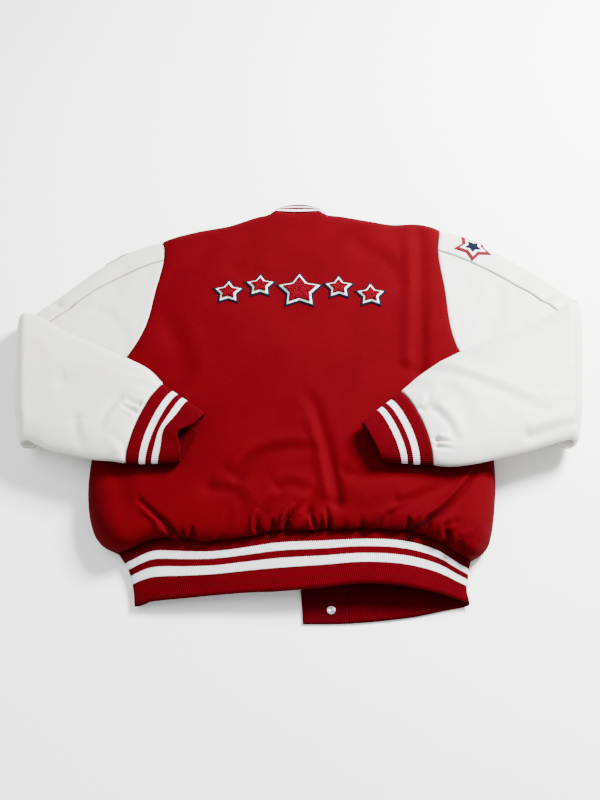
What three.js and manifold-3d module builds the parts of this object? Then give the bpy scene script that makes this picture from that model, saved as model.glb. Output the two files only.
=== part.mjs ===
// A varsity jacket laid face down: wool body, leather sleeves folded back at the elbow, rib-knit trim.
// Millimetres, +Z up. The fronts lie on z = 0, the collar points to +Y and the hem to -Y.
import Module from "manifold-3d";
import * as THREE from "three";
import { mergeVertices } from "three/addons/utils/BufferGeometryUtils.js";

// Walls of the cloth, and the gap at a seam
const woolWall = 3;
const leatherWall = 2.4;
const ribWall = 3.2;
const seamGap = 0.5;
const restGap = 0.3;

// Heights and roundings of the body as it lies
const sideSeamZ = 14;
const hemSideZ = 8;
const hemShare = 0.14;
const shoulderZ = 15;
const neckZ = 33;
const backRound = 42;
const frontRound = 13;
const shoulderRound = 28;
const puffReach = 20;
const puffStart = 40;

// Elbow fold
const foldZ = 34;
const foldReach = 0.55;

const wool = { color: 0x9c0f16, roughness: 0.92, metalness: 0 };
const ribKnit = { color: 0x8a0d14, roughness: 0.9, metalness: 0 };
const leather = { color: 0xe4e4df, roughness: 0.5, metalness: 0 };
const whiteFelt = { color: 0xf0eeea, roughness: 0.95, metalness: 0 };
const navyFelt = { color: 0x14182b, roughness: 0.95, metalness: 0 };
const redPile = { color: 0xb3122a, roughness: 1, metalness: 0 };
const steel = { color: 0xb9bcc0, roughness: 0.3, metalness: 1 };

const jacket = new THREE.Group();

const mix = (a, b, share) => a + (b - a) * share;
const clamp01 = (value) => Math.min(1, Math.max(0, value));
const smooth = (value) => clamp01(value) ** 2 * (3 - 2 * clamp01(value));
const radians = (degrees) => (degrees * Math.PI) / 180;
const vec = (x, y, z) => new THREE.Vector3(x, y, z);
const between = (from, to) => vec(0, 0, 0).subVectors(to, from);

// A quarter-round roll: 0 on an edge, 1 once it is a radius away
const roll = (distance, radius) => Math.sin(Math.acos(1 - clamp01(distance / radius)));

// Reads a column of a short table, as a smooth curve through its rows
function read(rows, key, column, value) {
  const last = rows.length - 1;
  let i = 0;
  while (i < last - 1 && value > rows[i + 1][key]) i += 1;
  const span = rows[i + 1][key] - rows[i][key];
  const t = clamp01((value - rows[i][key]) / span);
  const slope = (k) => {
    const before = rows[Math.max(0, k - 1)];
    const after = rows[Math.min(last, k + 1)];
    return ((after[column] - before[column]) / (after[key] - before[key])) * span;
  };
  const rise = rows[i + 1][column] - rows[i][column];
  const [start, end] = [slope(i), slope(i + 1)];
  return rows[i][column] + t * start + t * t * (3 * rise - 2 * start - end) + t ** 3 * (start + end - 2 * rise);
}

// Gives each point of a grid the direction into its wall, and lets a rule turn it at the edges
function wallGrid(points, sign, rule, loop = false) {
  const rows = points.length;
  const cols = points[0].length;
  const at = (i, j) => {
    const row = points[THREE.MathUtils.clamp(i, 0, rows - 1)];
    return loop ? row[(j + cols) % cols] : row[THREE.MathUtils.clamp(j, 0, cols - 1)];
  };
  return points.map((row, i) => row.map((p, j) => {
    const down = between(at(i - 1, j), at(i + 1, j));
    const along = between(at(i, j - 1), at(i, j + 1));
    const inward = down.cross(along).normalize().multiplyScalar(sign);
    rule(inward, i, j, p);
    return { p, inward: inward.normalize() };
  }));
}

// Cuts a panel out of a grid and draws each sewn border back by half the seam gap
function cutPanel(grid, rows, cols, sewn) {
  const panel = rows.map((i) => cols.map((j) => ({ p: grid[i][j].p.clone(), inward: grid[i][j].inward })));
  const lastRow = rows.length - 1;
  const lastCol = cols.length - 1;
  const pulls = [];
  const pull = (point, neighbour) => pulls.push([point, between(point.p, neighbour.p).setLength(seamGap / 2)]);
  panel.forEach((row, i) => row.forEach((point, j) => {
    if (sewn.left && j === 0) pull(point, row[1]);
    if (sewn.right && j === lastCol) pull(point, row[lastCol - 1]);
    if (sewn.first && i === 0) pull(point, panel[1][j]);
    if (sewn.last && i === lastRow) pull(point, panel[lastRow - 1][j]);
  }));
  pulls.forEach(([point, step]) => point.p.add(step));
  return panel;
}

// Closes a grid into a wall of even thickness
function wall(grid, thickness, loop = false) {
  const rows = grid.length;
  const cols = grid[0].length;
  const outer = grid.flat().map((g) => g.p);
  const inner = grid.flat().map((g) => g.p.clone().addScaledVector(g.inward, thickness));
  const skin = rows * cols;
  const at = (i, j) => i * cols + (j % cols);
  const index = [];
  const quad = (a, b, c, d) => index.push(a, b, c, a, c, d);
  const span = loop ? cols : cols - 1;
  for (let i = 0; i < rows - 1; i += 1) {
    for (let j = 0; j < span; j += 1) {
      quad(at(i, j), at(i, j + 1), at(i + 1, j + 1), at(i + 1, j));
      quad(skin + at(i, j), skin + at(i + 1, j), skin + at(i + 1, j + 1), skin + at(i, j + 1));
    }
    if (!loop) {
      quad(at(i, 0), at(i + 1, 0), skin + at(i + 1, 0), skin + at(i, 0));
      quad(at(i, cols - 1), skin + at(i, cols - 1), skin + at(i + 1, cols - 1), at(i + 1, cols - 1));
    }
  }
  for (let j = 0; j < span; j += 1) {
    quad(at(0, j), skin + at(0, j), skin + at(0, j + 1), at(0, j + 1));
    quad(at(rows - 1, j), at(rows - 1, j + 1), skin + at(rows - 1, j + 1), skin + at(rows - 1, j));
  }
  return faceOut([...outer, ...inner], index);
}

// A closed geometry whose faces point outwards
function faceOut(points, index) {
  let volume = 0;
  for (let k = 0; k < index.length; k += 3) {
    const [a, b, c] = [points[index[k]], points[index[k + 1]], points[index[k + 2]]];
    volume += a.dot(vec(0, 0, 0).crossVectors(b, c));
  }
  const geometry = new THREE.BufferGeometry().setFromPoints(points);
  geometry.setIndex(volume < 0 ? [...index].reverse() : index);
  geometry.computeVertexNormals();
  return geometry;
}

function addPiece(name, geometry, look) {
  const mesh = new THREE.Mesh(geometry, new THREE.MeshStandardMaterial(look));
  mesh.name = name;
  jacket.add(mesh);
  return mesh;
}

// Outline of the body: the side seam up to the underarm, then the armhole
const sides = {
  left: {
    inward: 1,
    underarm: 22,
    outline: [
      { y: -263, x: -256 },
      { y: -250, x: -282 },
      { y: -232, x: -295 },
      { y: -200, x: -305 },
      { y: -150, x: -311 },
      { y: -60, x: -309 },
      { y: 22, x: -303 },
      { y: 62, x: -272 },
      { y: 117, x: -249 },
      { y: 190, x: -239 },
      { y: 260, x: -231 },
      { y: 313, x: -240 },
    ],
  },
  right: {
    inward: -1,
    underarm: 15,
    outline: [
      { y: -274, x: 240 },
      { y: -260, x: 262 },
      { y: -240, x: 272 },
      { y: -200, x: 281 },
      { y: -150, x: 288 },
      { y: -60, x: 291 },
      { y: 15, x: 289 },
      { y: 62, x: 256 },
      { y: 111, x: 243 },
      { y: 190, x: 240 },
      { y: 275, x: 236 },
      { y: 341, x: 246 },
    ],
  },
};
const outlineX = (side, y) => read(side.outline, "y", "x", y);
const cornerY = (side) => side.outline[0].y;
const tipY = (side) => side.outline.at(-1).y;

// Heights of the armhole's edge, from the shoulder point (0) to the underarm (1)
const armhole = [
  { w: 0, back: 15, front: 15 },
  { w: 0.015, back: 21, front: 6 },
  { w: 0.06, back: 30, front: 0.5 },
  { w: 0.19, back: 36, front: 0 },
  { w: 0.5, back: 38.5, front: 0 },
  { w: 0.81, back: 37, front: 0 },
  { w: 0.94, back: 29, front: 1.5 },
  { w: 0.985, back: 20, front: 7.5 },
  { w: 1, back: 14, front: 14 },
];

// Shoulder line, with the back neck between its two peaks
const shoulderLine = [
  { x: -240, y: 313 },
  { x: -175, y: 334 },
  { x: -123, y: 347 },
  { x: -64, y: 371 },
  { x: -5, y: 369 },
  { x: 54, y: 372 },
  { x: 115, y: 360 },
  { x: 160, y: 350 },
  { x: 207, y: 351 },
  { x: 246, y: 341 },
];
const shoulderY = (x) => read(shoulderLine, "x", "y", x);
const neck = { middle: -5, half: 59, drop: 86, blend: 22 };
const inNeck = (x) => 1 - smooth((Math.abs(x - neck.middle) - neck.half + neck.blend) / neck.blend);

// The hem seam and the waistband's lower edge, on the back and on each front
const backHem = [
  { x: -256, seam: -263, edge: -342, seamZ: 20, edgeZ: 8 },
  { x: -236, seam: -258, edge: -339, seamZ: 24, edgeZ: 10 },
  { x: -205, seam: -246, edge: -334, seamZ: 28, edgeZ: 13 },
  { x: -161, seam: -249, edge: -331, seamZ: 31, edgeZ: 17 },
  { x: -121, seam: -251, edge: -328, seamZ: 33, edgeZ: 20 },
  { x: -75, seam: -245, edge: -325, seamZ: 34, edgeZ: 23 },
  { x: -30, seam: -237, edge: -324, seamZ: 35, edgeZ: 26 },
  { x: 34, seam: -235, edge: -319, seamZ: 35, edgeZ: 29 },
  { x: 80, seam: -233, edge: -314, seamZ: 34, edgeZ: 30 },
  { x: 126, seam: -233, edge: -315, seamZ: 33, edgeZ: 29 },
  { x: 159, seam: -237, edge: -319, seamZ: 31, edgeZ: 26 },
  { x: 192, seam: -248, edge: -325, seamZ: 28, edgeZ: 20 },
  { x: 220, seam: -266, edge: -331, seamZ: 24, edgeZ: 13 },
  { x: 240, seam: -274, edge: -335, seamZ: 20, edgeZ: 9 },
];
const leftHem = [
  { x: -256, seam: -263, edge: -342 },
  { x: -227, seam: -254, edge: -338 },
  { x: -190, seam: -245, edge: -322 },
  { x: -140, seam: -238, edge: -309 },
  { x: -60, seam: -233, edge: -303 },
  { x: 70, seam: -232, edge: -302 },
];
const rightHem = [
  { x: -5, seam: -292, edge: -361 },
  { x: 70, seam: -291, edge: -360 },
  { x: 150, seam: -287, edge: -352 },
  { x: 205, seam: -280, edge: -341 },
  { x: 240, seam: -274, edge: -335 },
];

// Edges of the fronts: the right one laps over the left one, and both lie a little askew
const frontEdge = { left: 62, right: 4, skew: -0.0625, from: -360 };
const lap = { height: 4.9, run: 34, start: 6, ends: -300, fall: 32 };
const edgeX = (name, y) => frontEdge[name] + frontEdge.skew * (y - frontEdge.from);
const lapLift = (x, y) =>
  lap.height * (1 - smooth((x - edgeX("left", y) - lap.start) / lap.run)) * (1 - smooth((lap.ends - y) / lap.fall));

// Crown of the back, then its gathers and the largest slanting folds
const crown = [
  { y: -274, z: 49 },
  { y: -235, z: 50.5 },
  { y: -190, z: 48.5 },
  { y: -150, z: 45 },
  { y: -110, z: 44 },
  { y: 0, z: 43 },
  { y: 200, z: 40 },
  { y: 371, z: 37 },
];
const folds = [
  { x: -215, y: -243, toX: -176, toY: -262, depth: 5, width: 13 },
  { x: -200, y: -196, toX: -150, toY: -258, depth: 11, width: 15 },
  { x: -110, y: -255, toX: -96, toY: -215, depth: 4, width: 13 },
  { x: -52, y: -246, toX: -38, toY: -198, depth: 7, width: 12 },
  { x: -18, y: -244, toX: 4, toY: -204, depth: 7, width: 12 },
  { x: 32, y: -242, toX: 35, toY: -205, depth: 6, width: 12 },
  { x: 38, y: -210, toX: 37, toY: -85, depth: 2, width: 15 },
  { x: 97, y: -240, toX: 141, toY: -203, depth: 5, width: 14 },
  { x: 145, y: -242, toX: 220, toY: -195, depth: 9, width: 15 },
  { x: 220, y: -195, toX: 244, toY: -140, depth: 8, width: 15 },
  { x: 189, y: -250, toX: 206, toY: -236, depth: 6, width: 12 },
  { x: 60, y: -60, toX: 30, toY: -165, depth: 2.5, width: 26 },
  { x: 205, y: 90, toX: 150, toY: 300, depth: 3.5, width: 26 },
];

function foldDepth(x, y) {
  return folds.reduce((sum, fold) => {
    const dx = fold.toX - fold.x;
    const dy = fold.toY - fold.y;
    const along = clamp01(((x - fold.x) * dx + (y - fold.y) * dy) / (dx * dx + dy * dy));
    const off = Math.hypot(x - fold.x - dx * along, y - fold.y - dy * along) / fold.width;
    return sum + fold.depth * Math.exp(-off * off);
  }, 0);
}
const backHeight = (x, y) => read(crown, "y", "z", y) - foldDepth(x, y);

// Rows of the body: down the armhole, down the side seam, then round the puff above the hem seam
const across = [0, 0.015, 0.06, 0.19, 0.35, 0.5, 0.65, 0.81, 0.94, 0.985, 1];
const downSide = [0.14, 0.3, 0.46, 0.62, 0.77, 0.9];
const puffTurns = [90, 58, 28, 0, -22, -puffStart];
const puffTop = puffReach * Math.cos(radians(puffStart));
const bodyRows = [
  ...across.map((arm) => ({ arm })),
  ...downSide.map((side) => ({ side })),
  ...puffTurns.map((turn) => ({ puff: radians(turn), left: (turn + puffStart) / (90 + puffStart) })),
];
const lastBodyRow = bodyRows.length - 1;
const allRows = bodyRows.map((_, i) => i);

// Columns of the body: a quarter-round at each side seam, and even shares between
const turns = [0, 25, 50, 72].map(radians);
const rollLeft = turns.map((turn) => ({ side: "left", turn }));
const rollRight = turns.map((turn) => ({ side: "right", turn })).reverse();
const backShares = Array.from({ length: 25 }, (_, k) => k / 24);

// Where a row meets the body's edge, and how far up the side that is
function edgeAt(side, row) {
  const corner = cornerY(side);
  let y = corner + puffTop * (row.left ?? 0);
  if (row.arm !== undefined) y = mix(tipY(side), side.underarm, row.arm);
  if (row.side !== undefined) y = mix(side.underarm, corner + puffTop, row.side);
  return { y, x: outlineX(side, y), share: (y - corner) / (tipY(side) - corner) };
}

function columnX(left, right, column, round, shape) {
  if (column.side === "left") return left.x + round * (1 - Math.cos(column.turn));
  if (column.side === "right") return right.x - round * (1 - Math.cos(column.turn));
  const from = shape.from ? shape.from(left.y) : left.x + round;
  const to = shape.to ? shape.to(right.y) : right.x - round;
  return mix(from, to, column.share);
}

function bodyPoint(face, row, column, shape) {
  const left = edgeAt(sides.left, row);
  const right = edgeAt(sides.right, row);
  const x = columnX(left, right, column, face === "back" ? backRound : frontRound, shape);
  const cover = column.turn === undefined ? 1 : Math.sin(column.turn);
  const share = mix(left.share, right.share, clamp01((x - left.x) / (right.x - left.x)));
  const topY = shape.top(x);
  let y = mix(read(shape.hem, "x", "seam", x), topY, share);
  const sideZ = mix(hemSideZ, sideSeamZ, smooth(share / hemShare));
  const edgeZ = row.arm === undefined ? sideZ : read(armhole, "w", face, row.arm);
  if (face === "front") {
    const onShoulder = Math.abs(x - neck.middle) > neck.half ? 1 : 0;
    const atShoulder = shoulderZ * onShoulder * (1 - roll(shoulderY(x) - y, frontRound));
    return vec(x, y, Math.max(0, mix(edgeZ, atShoulder, cover)) + shape.lift(x, y));
  }
  const seamZ = mix(shoulderZ, neckZ, inNeck(x));
  let full = mix(seamZ, backHeight(x, y), roll(topY - y, shoulderRound));
  if (row.puff !== undefined) {
    const low = Math.sin(radians(puffStart));
    const rise = (Math.sin(row.puff) + low) / (1 + low);
    const puffed = puffTop - puffReach * Math.cos(row.puff);
    y += (puffed - puffTop * row.left) * cover;
    full = mix(read(shape.hem, "x", "seamZ", x), full, rise);
  }
  return vec(x, y, mix(edgeZ, full, cover));
}

function bodyPanel(face, columns, shape) {
  const points = bodyRows.map((row) => columns.map((column) => bodyPoint(face, row, column, shape)));
  return wallGrid(points, face === "back" ? -1 : 1, (inward, i, j, p) => {
    const column = columns[j];
    if (i === lastBodyRow) inward.y = 0;
    if (i === 0) inward.z *= face === "back" ? inNeck(p.x) : Number(Math.abs(p.x - neck.middle) < neck.half);
    if (column.turn !== 0) return;
    inward.y = 0;
    if (bodyRows[i].arm === undefined || i === across.length - 1) inward.z = 0;
    if (i === 0) inward.set(sides[column.side].inward, -1, 0);
  });
}

// The front neckline is a half ellipse between the shoulder peaks
function frontTop(x) {
  const reach = 1 - clamp01(Math.abs(x - neck.middle) / neck.half);
  return shoulderY(x) - neck.drop * Math.sin(Math.acos(1 - reach));
}

const shared = (shares) => shares.map((share) => ({ share }));
const columnsOf = {
  back: [...rollLeft, ...shared(backShares), ...rollRight],
  left: [...rollLeft, ...shared([0, 0.2, 0.4, 0.58, 0.672, 0.69, 0.74, 0.83, 0.92, 1])],
  right: [...shared([0, 0.1, 0.18, 0.26, 0.3, 0.32, 0.42, 0.6, 0.8, 1]), ...rollRight],
};
const flat = () => 0;
const shapeOf = {
  back: { hem: backHem, top: shoulderY },
  left: { hem: leftHem, top: frontTop, to: (y) => edgeX("left", y), lift: flat },
  right: { hem: rightHem, top: frontTop, from: (y) => edgeX("right", y), lift: lapLift },
};
const backGrid = bodyPanel("back", columnsOf.back, shapeOf.back);
const leftGrid = bodyPanel("front", columnsOf.left, shapeOf.left);
const rightGrid = bodyPanel("front", columnsOf.right, shapeOf.right);

function addBody(name, grid, sewn) {
  const columns = grid[0].map((_, j) => j);
  addPiece(name, wall(cutPanel(grid, allRows, columns, { first: true, last: true, ...sewn }), woolWall), wool);
}
addBody("back", backGrid, { left: true, right: true });
addBody("front_left", leftGrid, { left: true });
addBody("front_right", rightGrid, { right: true });

// The waistband runs from the right tab, round the back, to the left tab
const bandShares = [0, 0.25, 0.5, 0.75, 1];
const bandSides = [
  { r: 0, left: -256, right: 240 },
  { r: 0.35, left: -240, right: 235 },
  { r: 0.7, left: -231, right: 231 },
  { r: 1, left: -227, right: 233 },
];
const tabSeam = { left: -2, right: 67 };
const hemRowX = (grid) => grid[lastBodyRow].map(({ p }) => p.x);
const bandFronts = {
  right: hemRowX(rightGrid).filter((x) => x > tabSeam.right && x < bandSides[0].right - frontRound + 1),
  left: hemRowX(leftGrid).filter((x) => x < tabSeam.left && x > bandSides[0].left + frontRound - 1),
};

// A point of the band on a front, with the front's own columns drawn in towards the narrower hem
function bandFrontPoint(name, x, r) {
  const fold = (share) => read(bandSides, "r", name, share) + sides[name].inward * frontRound;
  const share = (x - fold(0)) / (tabSeam[name] - fold(0));
  const at = mix(fold(r), tabSeam[name], share);
  const hem = name === "left" ? leftHem : rightHem;
  const y = mix(read(hem, "x", "seam", at), read(hem, "x", "edge", at), r);
  return vec(at, y, name === "right" ? lapLift(at, y) : 0);
}

function bandRoll(name, turn, r, face) {
  const edge = read(bandSides, "r", name, r);
  const round = face === "back" ? backRound : frontRound;
  const x = edge + sides[name].inward * round * (1 - Math.cos(turn));
  const frontHem = name === "left" ? leftHem : rightHem;
  const hem = face === "back" ? backHem : frontHem;
  const y = mix(read(hem, "x", "seam", x), read(hem, "x", "edge", x), r);
  const full = mix(read(backHem, "x", "seamZ", x), read(backHem, "x", "edgeZ", x) + ribWall, r);
  return vec(x, y, mix(hemSideZ, face === "back" ? full : 0, Math.sin(turn)));
}

function bandBackPoint(share, r) {
  const from = read(bandSides, "r", "right", r) - backRound;
  const to = read(bandSides, "r", "left", r) + backRound;
  const x = mix(from, to, share);
  const y = mix(read(backHem, "x", "seam", x), read(backHem, "x", "edge", x), r);
  return vec(x, y, mix(read(backHem, "x", "seamZ", x), read(backHem, "x", "edgeZ", x) + ribWall, r));
}

const outerTurns = turns.slice(1);
const bandColumns = [
  (r) => bandFrontPoint("right", tabSeam.right, r),
  ...bandFronts.right.map((x) => (r) => bandFrontPoint("right", x, r)),
  ...[...outerTurns].reverse().map((turn) => (r) => bandRoll("right", turn, r, "front")),
  (r) => bandRoll("right", 0, r, "back"),
  ...outerTurns.map((turn) => (r) => bandRoll("right", turn, r, "back")),
  ...backShares.map((share) => (r) => bandBackPoint(share, r)),
  ...[...outerTurns].reverse().map((turn) => (r) => bandRoll("left", turn, r, "back")),
  (r) => bandRoll("left", 0, r, "back"),
  ...outerTurns.map((turn) => (r) => bandRoll("left", turn, r, "front")),
  ...bandFronts.left.map((x) => (r) => bandFrontPoint("left", x, r)),
  (r) => bandFrontPoint("left", tabSeam.left, r),
];
const bandPoints = bandShares.map((r) => bandColumns.map((at) => at(r)));
const bandGrid = wallGrid(bandPoints, 1, (inward, i) => {
  if (i === 0) inward.y = 0;
});
const bandSewn = { left: true, right: true, first: true };
const bandRows = bandShares.map((_, i) => i);
addPiece("waistband", wall(cutPanel(bandGrid, bandRows, bandColumns.map((_, j) => j), bandSewn), ribWall), ribKnit);

// The wool tabs that end the band
function addTab(name, hem, lift, sewn) {
  const points = bandShares.map((r) => [0, 0.25, 0.5, 0.75, 1].map((share) => {
    const near = mix(read(hem, "x", "seam", tabSeam[name]), read(hem, "x", "edge", tabSeam[name]), r);
    const ends = [tabSeam[name], edgeX(name, near)];
    const x = mix(Math.min(...ends), Math.max(...ends), share);
    const y = mix(read(hem, "x", "seam", x), read(hem, "x", "edge", x), r);
    return vec(x, y, lift(x, y));
  }));
  const grid = wallGrid(points, 1, (inward, i) => {
    if (i === 0) inward.y = 0;
  });
  const panel = cutPanel(grid, bandRows, [0, 1, 2, 3, 4], { first: true, ...sewn });
  addPiece(`tab_${name}`, wall(panel, woolWall), wool);
}
addTab("left", leftHem, flat, { left: true });
addTab("right", rightHem, lapLift, { right: true });

// The collar: a rib tube that lies forward of the neckline and is open at the centre front
const collarTop = { middle: -3, half: 51, y: 378, back: 26, front: 51, side: 8, rise: 9, ease: 0.5 };
const collarSettle = 0.35;
const collarShares = [0, 0.33, 0.67, 1];
const collarAngles = [-88, -75, -60, -45, -30, -15, -5, 5, 15, 30, 50, 70, 90];
const collarTurns = [...collarAngles, ...collarAngles.map((angle) => 180 - angle).reverse().slice(1)];
const collarGap = 1.2;

function collarPoint(angle, share) {
  const side = Math.cos(radians(angle));
  const over = Math.sin(radians(angle));
  const baseX = neck.middle + (neck.half - collarGap) * side;
  const topX = collarTop.middle + collarTop.half * side;
  const topY = collarTop.y + over * (over > 0 ? collarTop.back : collarTop.front);
  if (over > 0) {
    const base = vec(baseX, shoulderY(baseX) + collarGap, mix(sideSeamZ, neckZ, inNeck(baseX)));
    return base.lerp(vec(topX, topY, collarTop.side + collarTop.rise * over ** collarTop.ease), share);
  }
  const floor = 1 - Math.abs(over) ** collarSettle;
  const base = vec(baseX, shoulderY(baseX) + collarGap + (neck.drop - collarGap) * over, sideSeamZ * floor);
  return base.lerp(vec(topX, topY, collarTop.side * floor), share);
}
const collarPoints = collarShares.map((share) => collarTurns.map((angle) => collarPoint(angle, share)));
const collarGrid = wallGrid(collarPoints, -1, (inward, i, j) => {
  if (i === 0) inward.y = 0;
  if (j === 0 || j === collarTurns.length - 1) inward.set(0, 0, 1);
});
addPiece("collar", wall(collarGrid, ribWall), ribKnit);

// Stations of a sleeve: the turn about the elbow fold, the height and fullness of the section,
// its share of the armhole's bow, its bulge towards the elbow and its share of the armhole's heights
const stations = [
  { turn: 0, mid: 17, half: 18, bow: 1, bulge: 0, seam: 1 },
  { turn: 0, mid: 17.5, half: 18.5, bow: 0.75, bulge: 0, seam: 0.3 },
  { turn: 0, mid: 17, half: 17.5, bow: 0.45, bulge: 0, seam: 0 },
  { turn: 0, mid: 16.6, half: 17, bow: 0.2, bulge: 0, seam: 0 },
  { turn: 0, mid: 16.3, half: 16.4, bow: 0.05, bulge: 0, seam: 0 },
  { turn: 0, mid: 16, half: 16, bow: 0, bulge: 0, seam: 0 },
  { turn: 32, mid: 16, half: 16, bow: 0, bulge: 0, seam: 0 },
  { turn: 62, mid: 16, half: 16, bow: 0, bulge: 0, seam: 0 },
  { turn: 90, mid: 16, half: 16, bow: 0, bulge: 0, seam: 0 },
  { turn: 118, mid: 16, half: 16, bow: 0, bulge: 0, seam: 0 },
  { turn: 148, mid: 16, half: 16, bow: 0, bulge: 0, seam: 0 },
  { turn: 180, mid: 15.6, half: 15.8, bow: 0, bulge: 0, seam: 0 },
  { turn: 180, mid: 15, half: 16, bow: 0, bulge: 0, seam: 0 },
  { turn: 180, mid: 13.5, half: 16, bow: 0, bulge: 0, seam: 0 },
  { turn: 180, mid: 10.5, half: 15.5, bow: 0, bulge: 2, seam: 0 },
  { turn: 180, mid: 7.6, half: 14.6, bow: 0, bulge: 5, seam: 0 },
  { turn: 180, mid: 7.6, half: 14.6, bow: 0, bulge: 8, seam: 0 },
  { turn: 180, mid: 8.8, half: 13.4, bow: 0, bulge: 9, seam: 0 },
  { turn: 180, mid: 9.6, half: 12.6, bow: 0, bulge: 8, seam: 0 },
  { turn: 180, mid: 9.8, half: 12.4, bow: 0, bulge: 4, seam: 0 },
  { turn: 180, mid: 9.8, half: 12.4, bow: 0, bulge: 1, seam: 0 },
];
const cuffStation = 17;

// Edges of a sleeve at its stations, on the shoulder side (a) and on the underarm side (b)
const sleeveEdges = {
  left: [
    { ax: -240, ay: 313, bx: -303, by: 22 },
    { ax: -262, ay: 305, bx: -316, by: 4 },
    { ax: -300, ay: 284, bx: -340, by: -22 },
    { ax: -346, ay: 248, bx: -364, by: -48 },
    { ax: -392, ay: 200, bx: -384, by: -74 },
    { ax: -434, ay: 159, bx: -399, by: -94 },
    { ax: -439, ay: 153, bx: -403, by: -97 },
    { ax: -441, ay: 148, bx: -404, by: -99 },
    { ax: -441, ay: 143, bx: -404, by: -100 },
    { ax: -440, ay: 138, bx: -403, by: -101 },
    { ax: -438, ay: 134, bx: -401, by: -102 },
    { ax: -434, ay: 130, bx: -397, by: -104 },
    { ax: -410, ay: 120, bx: -370, by: -118 },
    { ax: -368, ay: 92, bx: -335, by: -128 },
    { ax: -320, ay: 66, bx: -300, by: -137 },
    { ax: -263, ay: 36, bx: -272, by: -141 },
    { ax: -230, ay: 16, bx: -260, by: -143 },
    { ax: -206, ay: -9, bx: -250, by: -144 },
    { ax: -190, ay: -22, bx: -231, by: -145 },
    { ax: -166, ay: -40, bx: -203, by: -144 },
    { ax: -141, ay: -59, bx: -174, by: -142 },
  ],
  right: [
    { ax: 246, ay: 341, bx: 289, by: 15 },
    { ax: 272, ay: 331, bx: 303, by: -1 },
    { ax: 312, ay: 308, bx: 326, by: -26 },
    { ax: 356, ay: 275, bx: 352, by: -52 },
    { ax: 404, ay: 236, bx: 376, by: -78 },
    { ax: 448, ay: 193, bx: 394, by: -94 },
    { ax: 452, ay: 186, bx: 398, by: -97 },
    { ax: 451, ay: 177, bx: 399, by: -98 },
    { ax: 446, ay: 168, bx: 399, by: -99 },
    { ax: 440, ay: 161, bx: 399, by: -100 },
    { ax: 435, ay: 155, bx: 398, by: -100 },
    { ax: 430, ay: 149, bx: 396, by: -101 },
    { ax: 393, ay: 122, bx: 375, by: -107 },
    { ax: 345, ay: 97, bx: 338, by: -120 },
    { ax: 290, ay: 72, bx: 296, by: -133 },
    { ax: 245, ay: 48, bx: 250, by: -146 },
    { ax: 196, ay: 17, bx: 216, by: -150 },
    { ax: 151, ay: -23, bx: 191, by: -147 },
    { ax: 135, ay: -37, bx: 172, by: -146 },
    { ax: 112, ay: -57, bx: 144, by: -143 },
    { ax: 91, ay: -76, bx: 117, by: -140 },
  ],
};

// A patch under a sleeve lifts the leather over it by its room. Each patch is cut between the heights low
// and high, out of a sheet that reaches a few ring points below the shoulder-side edge.
const patches = {
  left: { x: -300, y: 267, room: 5.4, low: 0, high: 20, below: 6 },
  right: { x: 297, y: 290, room: 0, low: 18, high: 60, below: 3 },
};
const patchRadius = 34;
const patchTilt = 262;
const patchBlend = 26;

function restHeight(name, x, y) {
  const patch = patches[name];
  const away = Math.hypot(x - patch.x, y - patch.y) - patchRadius;
  return patch.room * (1 - smooth(away / patchBlend));
}

// Fullness of a sleeve's section across its width
const fullness = (w) => Math.sqrt(1 - Math.abs(2 * w - 1) ** 4);

// A point on a sleeve: up is 1 on the face that shows on the upper arm and -1 on the other face
function sleevePoint(name, station, w, up) {
  const side = sides[name];
  const row = { ...stations[station], ...sleeveEdges[name][station] };
  const start = sleeveEdges[name][0];
  const bend = outlineX(side, mix(tipY(side), side.underarm, w)) - mix(start.ax, start.bx, w);
  const chord = vec(row.ax - row.bx, row.ay - row.by, 0).normalize();
  const out = vec(-side.inward * chord.y, side.inward * chord.x, 0);
  const full = row.mid + up * row.half * fullness(w);
  const height = mix(full, Math.max(0, read(armhole, "w", up > 0 ? "back" : "front", w)), row.seam);
  const reach = foldZ - height;
  const turn = radians(row.turn);
  const p = vec(mix(row.ax, row.bx, w) + bend * row.bow, mix(row.ay, row.by, w), 0);
  p.addScaledVector(out, row.bulge * 4 * w * (1 - w) + reach * Math.sin(turn) * foldReach);
  p.z = Math.max((1 - row.seam) * restHeight(name, p.x, p.y), foldZ - reach * Math.cos(turn));
  return p;
}

// One ring of a sleeve: over the upper face from the shoulder side, then back under the lower face
const ring = [
  ...across.map((w) => ({ w, up: 1 })),
  ...across.slice(1, -1).reverse().map((w) => ({ w, up: -1 })),
];
const backSeam = across.indexOf(0.19);
const underSeam = across.length - 1;

function addSleeve(name) {
  const side = sides[name];
  const points = stations.map((_, i) => ring.map(({ w, up }) => sleevePoint(name, i, w, up)));
  points[0].forEach((p) => {
    p.x -= side.inward * seamGap / 2;
  });
  const tube = wallGrid(points, -side.inward, (inward, i, j) => {
    const { w } = ring[j];
    const row = sleeveEdges[name][i];
    if (w === 1) inward.set(row.ax - row.bx, row.ay - row.by, 0);
    if (w === 0) inward.set(row.bx - row.ax, row.by - row.ay, 0);
    if (i === 0) inward.x = 0;
  }, true);
  const rows = stations.map((_, i) => i);
  const arm = rows.slice(0, cuffStation + 1);
  const cuff = rows.slice(cuffStation);
  const whole = ring.map((_, j) => j);
  const under = whole.slice(backSeam, underSeam + 1);
  const top = [...whole.slice(underSeam), ...whole.slice(0, backSeam + 1)];
  const sewn = { left: true, right: true, last: true };
  addPiece(`sleeve_under_${name}`, wall(cutPanel(tube, arm, under, sewn), leatherWall), leather);
  addPiece(`sleeve_top_${name}`, wall(cutPanel(tube, arm, top, sewn), leatherWall), leather);
  addPiece(`cuff_${name}`, wall(cutPanel(tube, cuff, whole, { first: true }), ribWall, true), ribKnit);
  return tube;
}
const tubes = { left: addSleeve("left"), right: addSleeve("right") };

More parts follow.
